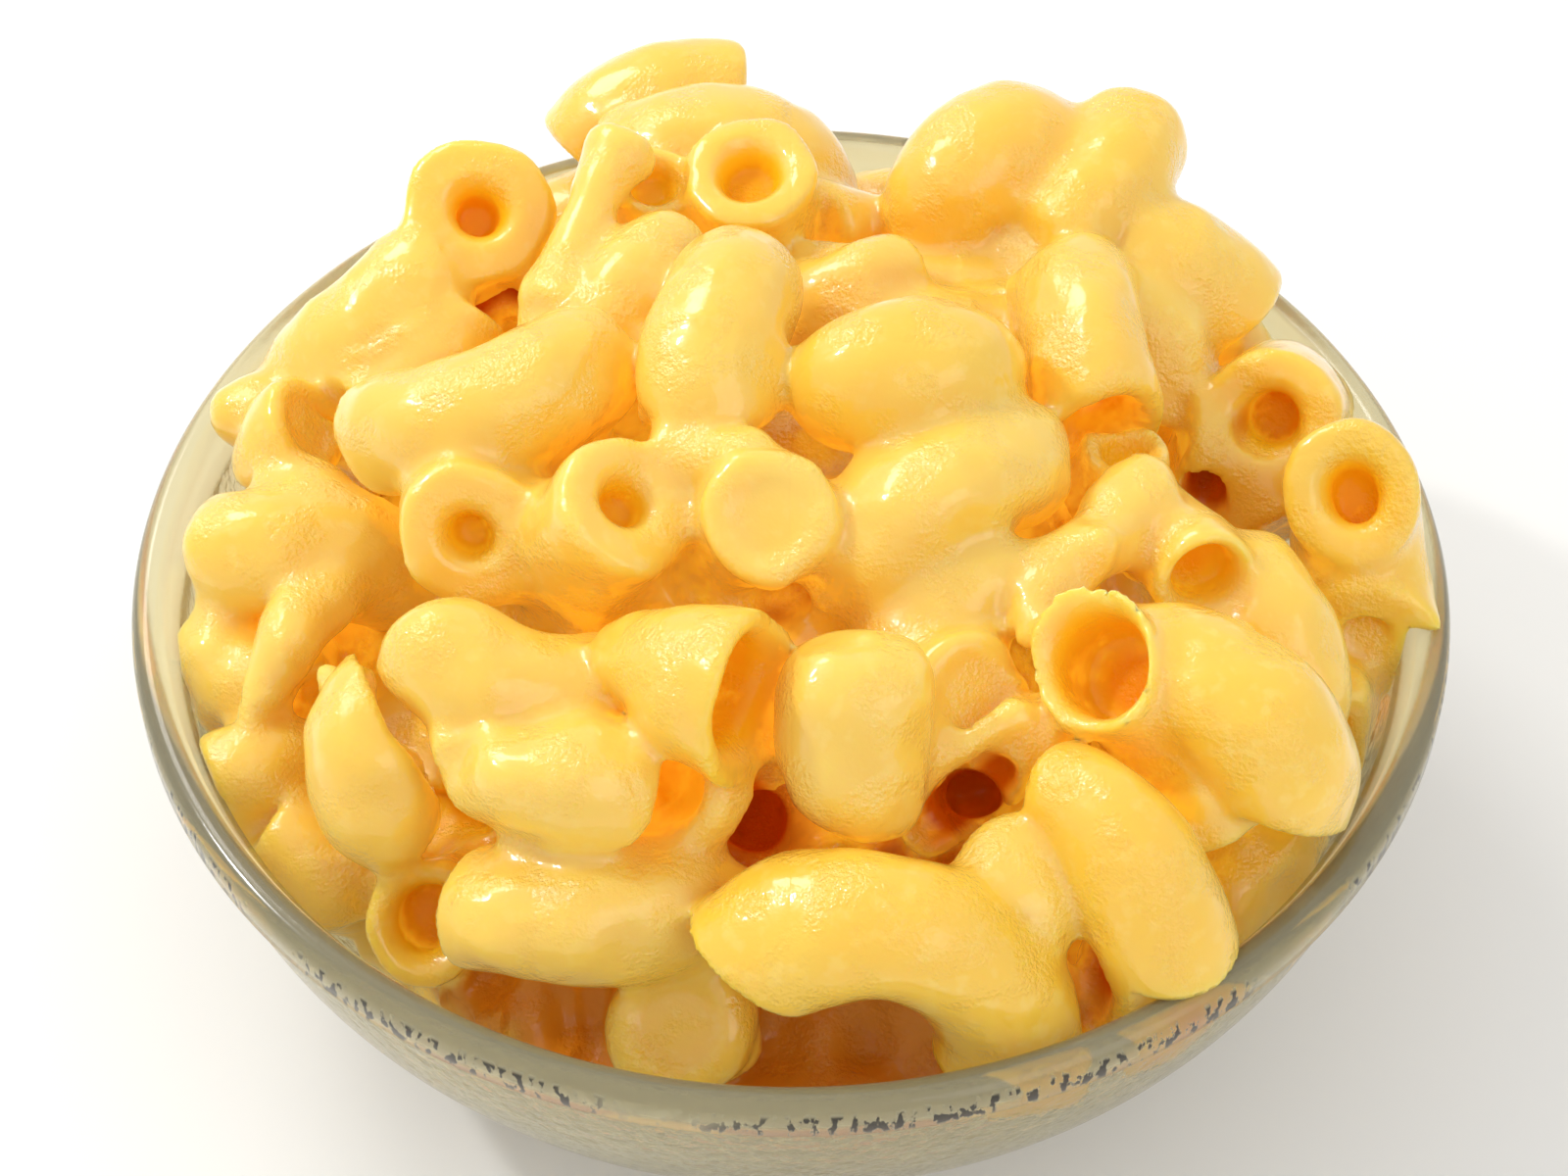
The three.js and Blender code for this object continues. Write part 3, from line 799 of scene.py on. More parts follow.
@dataclass
class MacaroniHeap:
    """The food: macaroni and a core, joined by fillets of sauce and pressed into the bowl."""

    bowl: BowlForm
    step: float = 0.42
    fillet: float = 1.4
    headroom: float = 25.0
    cut_lip: float = 0.5  # how far the edges of bores and gaps are rounded off
    wall_contact: float = 0.2  # how far the food reaches into the glass
    rim_clearance: float = 0.1
    warp: float = 0.6  # how far pieces are pushed out of true
    warp_width: float = 9.0
    pool_reach: float = 2.2  # sauce fills hollows of about this size
    pool_depth: float = 0.55
    pool_swing: float = 0.3
    pool_width: float = 7.0
    lump_width: float = 3.0
    lump_height: float = 0.28
    vein_width: float = 5.0  # thin raised folds of sauce
    vein_height: float = 0.3
    gap_raggedness: float = 0.8
    ripple_width: float = 1.6
    ripple_height: float = 0.07
    core_top: float = 7.3
    core_drop: float = 20.0
    core_edge: float = 36.0
    core_power: float = 2.2
    core_inset: float = 1.6
    join_depth: float = 12.0  # under the rim, where the upper pieces meet the lower one
    overlap: float = 3.0  # how far each piece runs on under its neighbours' surfaces
    tuck: float = 0.2  # how steeply it sinks there
    wall_rows: tuple[WallRow, ...] = (WallRow(8.5, 8, (5, 6)), WallRow(18, 7))
    wall_piece_radius: float = 4.6
    wall_piece_length: float = 14.0
    wall_piece_tilt: float = 8.0
    contact_gap: float = 0.3
    scrap_volume: float = 15.0  # cubic millimetres: what is smaller is dropped
    bore_shade_depth: float = 4.0  # under the skin, where the painted shade in a bore is at its darkest
    sky_directions: int = 22
    long_turn: float = 2.2  # radians: an arc past this is cut by the nearer end's plane alone
    grid_half: float = 46.0
    grid_floor: float = 1.5
    seed: int = 7

    def _draws(self) -> Iterable[float]:
        """Endless numbers from 0 to 1, each from the last: state = 16807 state mod (2^31 - 1).

        Returns:
            The numbers, one after another.
        """
        state = self.seed
        while True:
            state = (state * 16807) % 2147483647
            yield state / 2147483647

    def _beside_wall(self, angle: float, depth: float) -> np.ndarray:
        """Place of a piece's middle line when its side just touches the inner wall.

        Args:
            angle: where round the bowl.
            depth: how far under the rim.

        Returns:
            The place, measured from the rim.
        """
        slope = float(self.bowl.inner(depth + 0.5) - self.bowl.inner(depth - 0.5))
        inward = (self.wall_piece_radius + self.contact_gap) / math.hypot(1, slope)
        radius = float(self.bowl.inner(depth)) - inward
        height = -depth - slope * inward
        return np.array([radius * math.cos(angle), radius * math.sin(angle), height])

    def wall_pieces(self) -> list[Elbow]:
        """Rows of pieces that lie along the wall, each turned up or down by a seeded draw.

        Returns:
            The pieces, without those that a row leaves out.
        """
        draws = iter(self._draws())
        pieces = []
        for row, ring in enumerate(self.wall_rows):
            for i in range(ring.count):
                share = (i + row / 2 + 0.4 * (next(draws) - 0.5)) / ring.count
                middle = share * 2 * math.pi
                rise = (next(draws) - 0.5) * self.wall_piece_tilt
                half = self.wall_piece_length / 2 / float(self.bowl.inner(ring.depth))
                ends = (
                    self._beside_wall(middle - half, ring.depth - rise),
                    self._beside_wall(middle, ring.depth + 2 * next(draws) - 1),
                    self._beside_wall(middle + half, ring.depth + rise),
                )
                if i in ring.left_out:
                    continue
                places = [tuple(float(v) for v in end) for end in ends]
                name = f"wall {row} {i}"
                pieces.append(Elbow(name, *places, self.wall_piece_radius, End.OPEN, 0.4, BURIED))
        return pieces

    def _shape(self, piece: Elbow, grid: tuple[np.ndarray, ...], arc: Arc) -> list[np.ndarray]:
        """Distances to one piece's body and to the hollow of its mouth.

        The body is a tube: the distance from the arc's circle, less the radius, cut by a plane at
        each end. The hollow is a thinner tube that widens into a funnel at the mouth.

        Args:
            piece: the piece of macaroni.
            grid: the x, y and z of the points.
            arc: the piece's middle line, in the row's frame.

        Returns:
            The distances to the body and to the hollow.
        """
        local = [
            sum((g - c) * a for g, c, a in zip(grid, arc.centre, axis))
            for axis in (arc.x_axis, arc.y_axis, arc.normal)
        ]
        around = np.arctan2(local[1], local[0]) - arc.turn / 2
        around = (around + np.pi) % (2 * np.pi) - np.pi
        along = arc.radius * around
        from_line = np.hypot(np.hypot(local[0], local[1]) - arc.radius, local[2])
        planes = []
        for share, sign, slant in ((0, -1, piece.mouth_slant), (1, 1, piece.tail_slant)):
            out = sign * arc.heading(share) + np.array(slant)
            out = out / np.linalg.norm(out)
            end = arc.point(share)
            planes.append(sum((g - e) * o for g, e, o in zip(grid, end, out)))
        if arc.turn > self.long_turn:
            beyond = np.where(along < 0, planes[0], planes[1])
        else:
            beyond = np.maximum(planes[0], planes[1])
        into = -planes[0]
        share = np.clip(around / arc.turn + 0.5, 0, 1)
        start, middle, end = piece.taper
        size = start + (end - start) * share + (4 * middle - 2 * (start + end)) * share * (1 - share)
        widening = piece.flare * np.clip(1 - into / 3, 0, 1) ** 2
        body = smooth_max(from_line - piece.radius * size - widening, beyond, piece.lip)
        if piece.end is End.SAUCED:
            hole, depth, funnel = 0.5 * piece.radius, 0.45, 0.5
        else:
            hole, depth, funnel = piece.bore * piece.radius, piece.bore_depth, 1.0
        opening = hole + funnel * np.clip(1 - into / 2, 0, 1) ** 2
        hollow = smooth_max(from_line - opening, into - depth, 0.8)
        hollow = np.maximum(hollow, -into - 0.9)
        hollow = np.where(np.abs(around) > np.pi / 2 + arc.turn / 2, 9.0, hollow)
        return [body, hollow]

    def _capsule(
        self,
        grid: tuple[np.ndarray, ...],
        start: np.ndarray,
        end: np.ndarray,
        start_radius: float,
        end_radius: float,
    ) -> np.ndarray:
        """Distance to a rod with round ends, whose radius changes evenly along it.

        Args:
            grid: the x, y and z of the points.
            start: the middle of the first end.
            end: the middle of the last end.
            start_radius: the radius at the start.
            end_radius: the radius at the end.

        Returns:
            The distances.
        """
        reach = end - start
        share = sum((g - s) * r for g, s, r in zip(grid, start, reach)) / (reach @ reach)
        share = np.clip(share, 0, 1)
        gap = sum((g - s - share * r) ** 2 for g, s, r in zip(grid, start, reach))
        distance = np.sqrt(gap) - (start_radius + share * (end_radius - start_radius))
        return distance.astype(np.float32)

    def _core(self, grid: tuple[np.ndarray, ...]) -> np.ndarray:
        """Distance to the core: under a dome that falls away from the middle, inside the wall.

        Args:
            grid: the x, y and z of the points.

        Returns:
            The distances.
        """
        x, y, z = grid
        radius = np.hypot(x, y)
        above = z - self.bowl.height
        dome = self.core_top - self.core_drop * (radius / self.core_edge) ** self.core_power
        wall = radius - (self.bowl.inner(np.clip(-above, 0, None)) - self.core_inset)
        return smooth_max((above - dome) * 0.8, wall, 2.0)

    def _room(self, grid: tuple[np.ndarray, ...]) -> np.ndarray:
        """Distance outside what the food may fill: the bowl's inside, and all over the rim.

        Args:
            grid: the x, y and z of the points.

        Returns:
            The distances, less than zero where food may be.
        """
        x, y, z = grid
        depth = self.bowl.height - z
        wall = np.hypot(x, y) - (self.bowl.inner(np.clip(depth, 0, None)) + self.wall_contact)
        under_rim = depth + self.rim_clearance
        floor = self.bowl.height - self.bowl.inner_depth - self.wall_contact - z
        return np.maximum(np.minimum(wall, under_rim), floor)

    def _add_pieces(
        self, food: FoodField, pieces: Iterable[Elbow], warps: list[np.ndarray]
    ) -> list[tuple[tuple[slice, ...], np.ndarray]]:
        """Join pieces to the food.

        Args:
            food: the field to add to.
            pieces: the pieces of macaroni.
            warps: how far each point is pushed along x, y and z.

        Returns:
            For each open mouth, the part of the grid it lies in and the distances to its bore.
        """
        draw = np.random.default_rng(self.seed)
        bores = []
        for piece in pieces:
            arc = Arc.through(*(self._lifted(p) for p in (piece.mouth, piece.bend, piece.tail)))
            curve = arc.point(np.linspace(0, 1, 12))
            margin = piece.radius + 4
            cut, grid = food.window(curve.min(0) - margin, curve.max(0) + margin)
            grid = tuple(g + self.warp * w[cut] for g, w in zip(grid, warps))
            body, bore = self._shape(piece, grid, arc)
            food.add(cut, body.astype(np.float32), self.fillet, piece.bare, draw.uniform())
            if piece.end is not End.PLAIN:
                bores.append((cut, bore.astype(np.float32)))
        return bores

    def _lifted(self, place: Triple) -> np.ndarray:
        """A place given from the rim, measured from the foot instead."""
        return np.array(place) + (0, 0, self.bowl.height)

    def _rods(
        self, food: FoodField, rods: Iterable[tuple[Triple, Triple, float, float]]
    ) -> Iterable[tuple[tuple[slice, ...], np.ndarray]]:
        """The part of the grid around each rod, and the distances to the rod there.

        Args:
            food: the field, for its grid.
            rods: two ends, and the radius at each.

        Returns:
            The slices and the distances, one rod after another.
        """
        for start, end, start_radius, end_radius in rods:
            a, b = self._lifted(start), self._lifted(end)
            margin = max(start_radius, end_radius) + 3
            cut, grid = food.window(np.minimum(a, b) - margin, np.maximum(a, b) + margin)
            yield cut, self._capsule(grid, a, b, start_radius, end_radius)

    def build_field(self) -> FoodField:
        """Work out the food's distance field: pieces, core, strings, lumps, bores and wall.

        Returns:
            The finished field.
        """
        top = self.bowl.height + self.headroom
        half = self.grid_half
        food = FoodField((-half, -half, self.grid_floor), (half, half, top), self.step)
        shape = food.value.shape
        warps = [lattice_noise(shape, self.warp_width / self.step, 20 + i) for i in range(3)]
        for cut, bore in self._add_pieces(food, self.wall_pieces(), warps):
            food.value[cut] = smooth_max(food.value[cut], -bore, self.cut_lip)
        everywhere = (slice(None), slice(None), slice(None))
        core = self._core(food.everywhere()).astype(np.float32)
        food.add(everywhere, core, self.fillet, BURIED, 0.5)
        for cut, room in self._rods(food, [(*rod, rod[2]) for rod in ROOMS]):
            food.room[cut] = np.maximum(food.room[cut], np.clip(1.6 - room / 1.5, 0, 1))
            food.value[cut] = smooth_max(food.value[cut], -room, 2.0)
        bores = self._add_pieces(food, SHOWN, warps)
        for cut, rod in self._rods(food, STRINGS):
            food.add(cut, rod, self.fillet, 0.0, 0.5)
        soft = box_blur(food.value, round(self.pool_reach / self.step))
        uneven = lattice_noise(shape, self.pool_width / self.step, 13)
        pooled = soft + self.pool_depth + self.pool_swing * uneven
        food.value = smooth_min(food.value, pooled, 0.5)
        sauced = 1 - food.bare / food.weight
        lumps = lattice_noise(shape, self.lump_width / self.step, 11)
        food.value -= self.lump_height * (0.3 + 1.2 * sauced) * lumps
        food.value -= self.ripple_height * lattice_noise(shape, self.ripple_width / self.step, 12)
        veins = np.clip(1 - np.abs(lattice_noise(shape, self.vein_width / self.step, 14)) / 0.16, 0, 1)
        spread = np.clip(1.5 * lattice_noise(shape, 2 * self.vein_width / self.step, 15), 0, 1)
        food.value -= self.vein_height * sauced * spread * veins * veins * (3 - 2 * veins)
        food.skin = food.value.copy()
        for cut, bore in bores:
            food.value[cut] = smooth_max(food.value[cut], -bore, self.cut_lip)
        for cut, gap in self._rods(food, [(*rod, rod[2]) for rod in GAPS]):
            gap = gap + self.gap_raggedness * lumps[cut]
            food.gap[cut] = np.maximum(food.gap[cut], np.clip(1.4 - gap / 0.8, 0, 1))
            food.value[cut] = smooth_max(food.value[cut], -gap, self.cut_lip)
        food.value = np.maximum(food.value, self._room(food.everywhere())).astype(np.float32)
        return food

    def _clean(self, points: np.ndarray, quads: np.ndarray) -> tuple[np.ndarray, np.ndarray]:
        """Drop loose scraps and the walls of sealed hollows, by each body's signed volume.

        Args:
            points: the vertices.
            quads: the faces that join them.

        Returns:
            The points and the quads that stay.
        """
        label = body_labels(len(points), quads)
        a, b, c, d = (points[quads[:, i]] for i in range(4))
        cone = np.einsum("ij,ij->i", a, np.cross(b, c) + np.cross(c, d)) / 6
        volume = np.bincount(label[quads[:, 0]], cone, minlength=len(points))
        keep_face = volume[label[quads[:, 0]]] > self.scrap_volume
        quads = quads[keep_face]
        used = np.unique(quads)
        renumber = np.zeros(len(points), int)
        renumber[used] = np.arange(len(used))
        return points[used], renumber[quads]

    def _openness(self, food: FoodField, points: np.ndarray, normal: np.ndarray) -> np.ndarray:
        """Share of the sky that each point sees past the food, by steps along fixed directions.

        Args:
            food: the finished field.
            points: places on the surface.
            normal: the surface's direction there.

        Returns:
            Numbers from 0, buried, to 1, wide open.
        """
        count = self.sky_directions
        height = 1 - (np.arange(count) + 0.5) / count * 1.3
        angle = np.arange(count) * math.pi * (3 - math.sqrt(5))
        across = np.sqrt(1 - height**2)
        ways = np.stack([across * np.cos(angle), across * np.sin(angle), height], -1)
        solid = food.value < -0.1
        limit = np.array(solid.shape) - 1
        seen = np.zeros(len(points))
        total = np.full(len(points), 1e-6)
        for way in ways:
            facing = np.clip(normal @ way, 0, 1)
            clear = facing > 0
            for reach in (1.5, 2.6, 4.2, 6.5, 10.0):
                place = points + normal * 0.5 + way * reach
                cell = np.clip(np.round((place - food.origin) / self.step).astype(int), 0, limit)
                clear &= ~solid[tuple(cell.T)]
            seen += facing * clear
            total += facing
        return seen / total

    def build(self) -> list[bpy.types.Object]:
        """Skin the field as four upper portions and one under them, which overlap out of sight.

        Past a portion's own edge its surface sinks evenly under its neighbour's, and then stops.

        Returns:
            The portions.
        """
        food = self.build_field()
        x, y, z = food.everywhere()
        low = z - (self.bowl.height - self.join_depth)
        portions = {
            "macaroni_back_left": (-low, x, -y),
            "macaroni_back_right": (-low, -x, -y),
            "macaroni_front_left": (-low, x, y),
            "macaroni_front_right": (-low, -x, y),
            "macaroni_under": (low,),
        }
        layers = {}
        for name, outward in portions.items():
            value = food.value
            for past in outward:
                value = value + self.tuck * np.clip(past, 0, self.overlap)
                value = np.maximum(value, past - self.overlap)
            layers[name] = value
        pieces = []
        for name, value in layers.items():
            points, quads = surface_net(value, food.origin, self.step)
            points, quads = self._clean(points, quads)
            normal = food.slope(value, points)
            rate = np.maximum((normal**2).sum(1), 0.2)
            error = np.clip(food.sample(value, points) / rate, -0.3, 0.3)
            points = points - normal * error[:, None]
            normal = normal / np.sqrt(rate)[:, None]
            share = food.sample(food.weight, points)
            depth = np.clip(-food.sample(food.skin, points) / self.bore_shade_depth, 0, 1)
            bare = food.sample(food.bare, points) / share
            # room and gap mark where the material paints shade; open and depth also drive its painted
            # shade and glow.
            room = food.sample(food.room, points) * np.clip(-bare, 0, 1)
            attributes = {
                "bare": bare,
                "tone": food.sample(food.tone, points) / share,
                "open": self._openness(food, points, normal),
                "depth": depth,
                "gap": np.clip(4 * depth * food.sample(food.gap, points) + 0.7 * room, 0, 1),
            }
            pieces.append(add_mesh(name, points, quads, attributes))
            LOG.info("%s: %d points, %d quads", name, len(points), len(quads))
        return pieces


# --------------------------------------------------------------------------- finishes


def mixed(tree: bpy.types.NodeTree, share: Socket, first: Colour, second: str) -> Socket:
    """Blend a colour towards another.

    Args:
        tree: the node tree.
        share: how far, from 0 to 1.
        first: a colour socket, or an sRGB hex colour.
        second: the sRGB hex colour to blend towards.

    Returns:
        The blended colour.
    """
    start = linear_rgba(first) if isinstance(first, str) else first
    values = {0: share, 6: start, 7: linear_rgba(second)}
    return add_node(tree, "ShaderNodeMix", {"data_type": "RGBA"}, values).outputs[2]


def eased(
    tree: bpy.types.NodeTree, value: Socket, start: float, end: float, low: float = 0, high: float = 1
) -> Socket:
    """Map a value smoothly from one range to another, and hold it at both ends.

    Args:
        tree: the node tree.
        value: what is mapped.
        start: the value that gives low.
        end: the value that gives high. It may be less than start.
        low: the result at the start.
        high: the result at the end.

    Returns:
        The mapped value.
    """
    limits = {"Value": value, "From Min": start, "From Max": end, "To Min": low, "To Max": high}
    kind = {"interpolation_type": "SMOOTHSTEP"}
    return add_node(tree, "ShaderNodeMapRange", kind, limits).outputs[0]


def reckon(tree: bpy.types.NodeTree, operation: str, *values: Socket | float) -> Socket:
    """One step of arithmetic.

    Args:
        tree: the node tree.
        operation: the Math node's operation, such as "MULTIPLY".
        values: sockets or plain numbers, in the node's order.

    Returns:
        The result.
    """
    return add_node(
        tree, "ShaderNodeMath", {"operation": operation}, dict(enumerate(values))
    ).outputs[0]


def noise(
    tree: bpy.types.NodeTree, place: Socket, width_mm: float, detail: float = 2.0
) -> Socket:
    """Noise whose blobs are about so many millimetres wide."""
    values = {"Vector": place, "Scale": 1 / (width_mm * MM), "Detail": detail}
    return add_node(tree, "ShaderNodeTexNoise", None, values).outputs["Fac"]


def mesh_value(tree: bpy.types.NodeTree, name: str) -> Socket:
    """A number that the mesh carries at each point."""
    return add_node(tree, "ShaderNodeAttribute", {"attribute_name": name}).outputs["Fac"]


@dataclass(frozen=True)
class SaucedPasta:
    """Boiled durum macaroni wet with cheese sauce: translucent, pale yellow and glossy, with painted
    shade in its hollows, bores and gaps and a painted glow.
    """

    name: str = "macaroni_in_cheese_sauce"
    sauced: str = "FAD15E"  # under thick sauce
    bare: str = "F8C940"  # where the pasta itself shows
    pale: str = "FFE082"  # flecks of thicker cheese
    olive: str = "F2C444"  # the duller of the pieces
    shade: str = "FFC844"  # painted shade: where little sky is seen, the colour deepens
    # painted shade under the pieces that show, where little light gets
    painted_under_shade: str = "FFCA3A"
    # painted shade in the deepest crevices
    painted_deep_shade: str = "FFC430"
    # painted shade in the bores, darker further in
    bore: str = "FFC41E"
    painted_deep_bore_shade: str = "F4A208"
    # painted shade in the deep gaps and the rooms behind the pieces
    gap: str = "D06600"
    glow: str = "FFCE34"  # painted glow: emission that stands in for light coming through the pasta into the hollows
    # painted glow in the deep gaps
    gap_glow: str = "C84000"
    patch_mm: float = 5.5
    fleck_mm: float = 1.3
    speck_mm: float = 0.3
    drop_mm: float = 1.1
    wet_mm: float = 3.5
    seam_width_mm: float = 3.0

    def make(self, seam_height: float) -> bpy.types.Material:
        """Build the material.

        Light does not spread from one portion into the next, so that its spread dies away
        towards the seams, which would show as dark lines.

        Args:
            seam_height: height of the seam between the upper portions and the lower one.

        Returns:
            The new material.
        """
        material = bpy.data.materials.new(self.name)
        material.use_nodes = True
        material.cycles.emission_sampling = "NONE"  # the painted glow is too weak to light anything else
        tree = material.node_tree
        tree.nodes.clear()
        place = add_node(tree, "ShaderNodeTexCoord").outputs["Object"]
        apart = add_node(tree, "ShaderNodeSeparateXYZ", None, {0: place}).outputs
        level = reckon(tree, "SUBTRACT", apart["Z"], seam_height * MM)
        from_seam = reckon(tree, "ABSOLUTE", level)
        for axis in ("X", "Y"):
            from_plane = reckon(tree, "ABSOLUTE", apart[axis])
            from_seam = reckon(tree, "MINIMUM", from_seam, from_plane)
        seam = self.seam_width_mm * MM
        sky, depth = mesh_value(tree, "open"), mesh_value(tree, "depth")
        patches = noise(tree, place, self.patch_mm, 3.0)
        shift = reckon(tree, "MULTIPLY_ADD", patches, 0.9, -0.45)
        cover = mesh_value(tree, "bare")
        bare = reckon(tree, "ADD", cover, shift)
        skin = mixed(tree, eased(tree, bare, 0, 1), self.sauced, self.bare)
        flecks = eased(tree, noise(tree, place, self.fleck_mm, 2.0), 0.52, 0.72, 0, 0.3)
        skin = mixed(tree, flecks, skin, self.pale)
        own = reckon(tree, "MULTIPLY", mesh_value(tree, "tone"), 0.45)
        skin = mixed(tree, own, skin, self.olive)
        # Painted shade: the colour deepens where little sky is seen, under the pieces that show, and
        # most in the deepest crevices.
        shaded = mixed(tree, eased(tree, sky, 0.6, 0.1), skin, self.shade)
        buried = reckon(tree, "MULTIPLY", eased(tree, cover, 0.1, -0.6), eased(tree, sky, 0.9, 0.45))
        shaded = mixed(tree, reckon(tree, "MULTIPLY", buried, 0.85), shaded, self.painted_under_shade)
        shaded = mixed(tree, eased(tree, sky, 0.06, 0), shaded, self.painted_deep_shade)
        # Painted shade in the bores, deeper the further a point lies under the skin.
        painted_bore_shade = mixed(tree, eased(tree, depth, 0.08, 0.35), shaded, self.bore)
        painted_bore_shade = mixed(tree, eased(tree, depth, 0.35, 0.8), painted_bore_shade, self.painted_deep_bore_shade)
        # Painted shade in the deep gaps and in the rooms behind the pieces.
        gap = mesh_value(tree, "gap")
        colour = mixed(tree, gap, painted_bore_shade, self.gap)
        hidden = reckon(tree, "MAXIMUM", gap, eased(tree, depth, 0.05, 0.5))
        dull = reckon(tree, "MULTIPLY_ADD", hidden, -0.8, 1.0)
        gloss = reckon(tree, "MULTIPLY", dull, eased(tree, sky, 0.1, 0.6, 0.25, 1.0))
        spared = reckon(tree, "MULTIPLY_ADD", gap, -0.4, 1.0)
        # Painted glow: emission where little sky is seen, standing in for light through the pasta,
        # weaker in the gaps.
        through = reckon(tree, "MULTIPLY", eased(tree, sky, 0.5, 0.03, 0, 0.26), spared)
        drops = noise(tree, place, self.drop_mm, 1.0)
        height = reckon(tree, "ADD", noise(tree, place, self.speck_mm, 2.0), drops)
        wet = eased(tree, noise(tree, place, self.wet_mm, 1.0), 0.44, 0.6, 0.06, 0.6)
        film = {"Height": height, "Strength": wet, "Distance": 0.0003}
        bump = add_node(tree, "ShaderNodeBump", None, film).outputs["Normal"]
        shader = add_node(
            tree,
            "ShaderNodeBsdfPrincipled",
            None,
            {
                "Base Color": colour,
                "Roughness": 0.33,
                "IOR": 1.42,
                "Subsurface Weight": eased(tree, from_seam, 0, seam, 0, 0.8),
                "Subsurface Radius": (1.0, 0.72, 0.22),
                "Subsurface Scale": 0.0024,
                "Specular IOR Level": reckon(tree, "MULTIPLY", gloss, 0.5),
                "Coat Weight": gloss,
                "Coat Roughness": 0.06,
                "Emission Color": mixed(tree, gap, self.glow, self.gap_glow),
                "Emission Strength": through,
                "Normal": bump,
                "Coat Normal": bump,
            },
        )
        add_node(tree, "ShaderNodeOutputMaterial", None, {"Surface": shader.outputs[0]})
        return material


@dataclass(frozen=True)
class PressedGlass:
    """Pressed soda-lime glass: fire-polished and clear at the rim, stippled under it, with painted dark
    reflections along the front of its bead.
    """

    name: str = "pressed_clear_glass"
    tint: str = "F1E9C0"
    # colour of the painted dark reflections on the bead
    dark: str = "2A2210"
    stipple_mm: float = 0.9
    reflection_dash_mm: float = 0.65  # painted dark reflections: fine dashes in a band on the bead's lower half
    run_mm: float = 14.0  # how long a stretch of them is

    def make(self, form: BowlForm) -> bpy.types.Material:
        """Build the material.

        Args:
            form: the bowl's sizes. The painted dark reflection dashes lie on the outside of its bead,
                the stipple under it.

        Returns:
            The new material.
        """
        material = bpy.data.materials.new(self.name)
        material.use_nodes = True
        tree = material.node_tree
        tree.nodes.clear()
        place = add_node(tree, "ShaderNodeTexCoord").outputs["Object"]
        apart = add_node(tree, "ShaderNodeSeparateXYZ", None, {0: place}).outputs
        under_bead = (form.height - form.bead_height) * MM
        share = eased(tree, apart["Z"], under_bead - 3 * MM, under_bead - 1 * MM, 0.5, 0.02)
        grain = noise(tree, place, self.stipple_mm, 2.0)
        relief = {"Height": grain, "Strength": share, "Distance": 0.0004}
        bump = add_node(tree, "ShaderNodeBump", None, relief).outputs["Normal"]
        turn = reckon(tree, "ARCTAN2", apart["Y"], apart["X"])
        around = reckon(tree, "MULTIPLY", turn, form.rim_radius * MM)
        across = reckon(tree, "MULTIPLY", apart["Z"], 0.45)
        unrolled = add_node(tree, "ShaderNodeCombineXYZ", None, {0: around, 1: across}).outputs[0]
        reflection_marks = eased(tree, noise(tree, unrolled, self.reflection_dash_mm, 3.0), 0.5, 0.58)
        runs = eased(tree, noise(tree, unrolled, self.run_mm, 1.0), 0.36, 0.48)
        above = eased(tree, apart["Z"], under_bead + 0.2 * MM, under_bead + 0.7 * MM)
        below = eased(tree, apart["Z"], under_bead + 2.6 * MM, under_bead + 2.1 * MM)
        squared = reckon(tree, "MULTIPLY", apart["Y"], apart["Y"])
        squared = reckon(tree, "MULTIPLY_ADD", apart["X"], apart["X"], squared)
        from_axis = reckon(tree, "SQRT", squared)
        rim = form.rim_radius * MM
        outside = eased(tree, from_axis, rim - 1.4 * MM, rim - 0.9 * MM)
        band = reckon(tree, "MULTIPLY", reckon(tree, "MULTIPLY", above, below), outside)
        # The painted reflections lie on the front half only, towards the camera.
        front = eased(tree, apart["Y"], 0.0, -0.01)
        runs = reckon(tree, "MULTIPLY", runs, front)
        dashes = reckon(tree, "MULTIPLY", band, reckon(tree, "MULTIPLY", reflection_marks, runs))
        shader = add_node(
            tree,
            "ShaderNodeBsdfPrincipled",
            None,
            {
                "Base Color": mixed(tree, dashes, self.tint, self.dark),
                "Roughness": 0.16,
                "IOR": 1.5,
                "Transmission Weight": reckon(tree, "MULTIPLY_ADD", dashes, -0.64, 0.84),
                "Normal": bump,
            },
        )
        add_node(tree, "ShaderNodeOutputMaterial", None, {"Surface": shader.outputs[0]})
        return material


@dataclass(frozen=True)
class PaleFloor:
    """A matt white studio sweep."""

    name: str = "white_sweep"
    colour: str = "F4F3F0"

    def make(self) -> bpy.types.Material:
        """Build the material.

        Returns:
            The new material.
        """
        material = bpy.data.materials.new(self.name)
        material.use_nodes = True
        shader = material.node_tree.nodes["Principled BSDF"]
        shader.inputs["Base Color"].default_value = linear_rgba(self.colour)
        shader.inputs["Roughness"].default_value = 0.8
        return material


# --------------------------------------------------------------------------- sub-assemblies


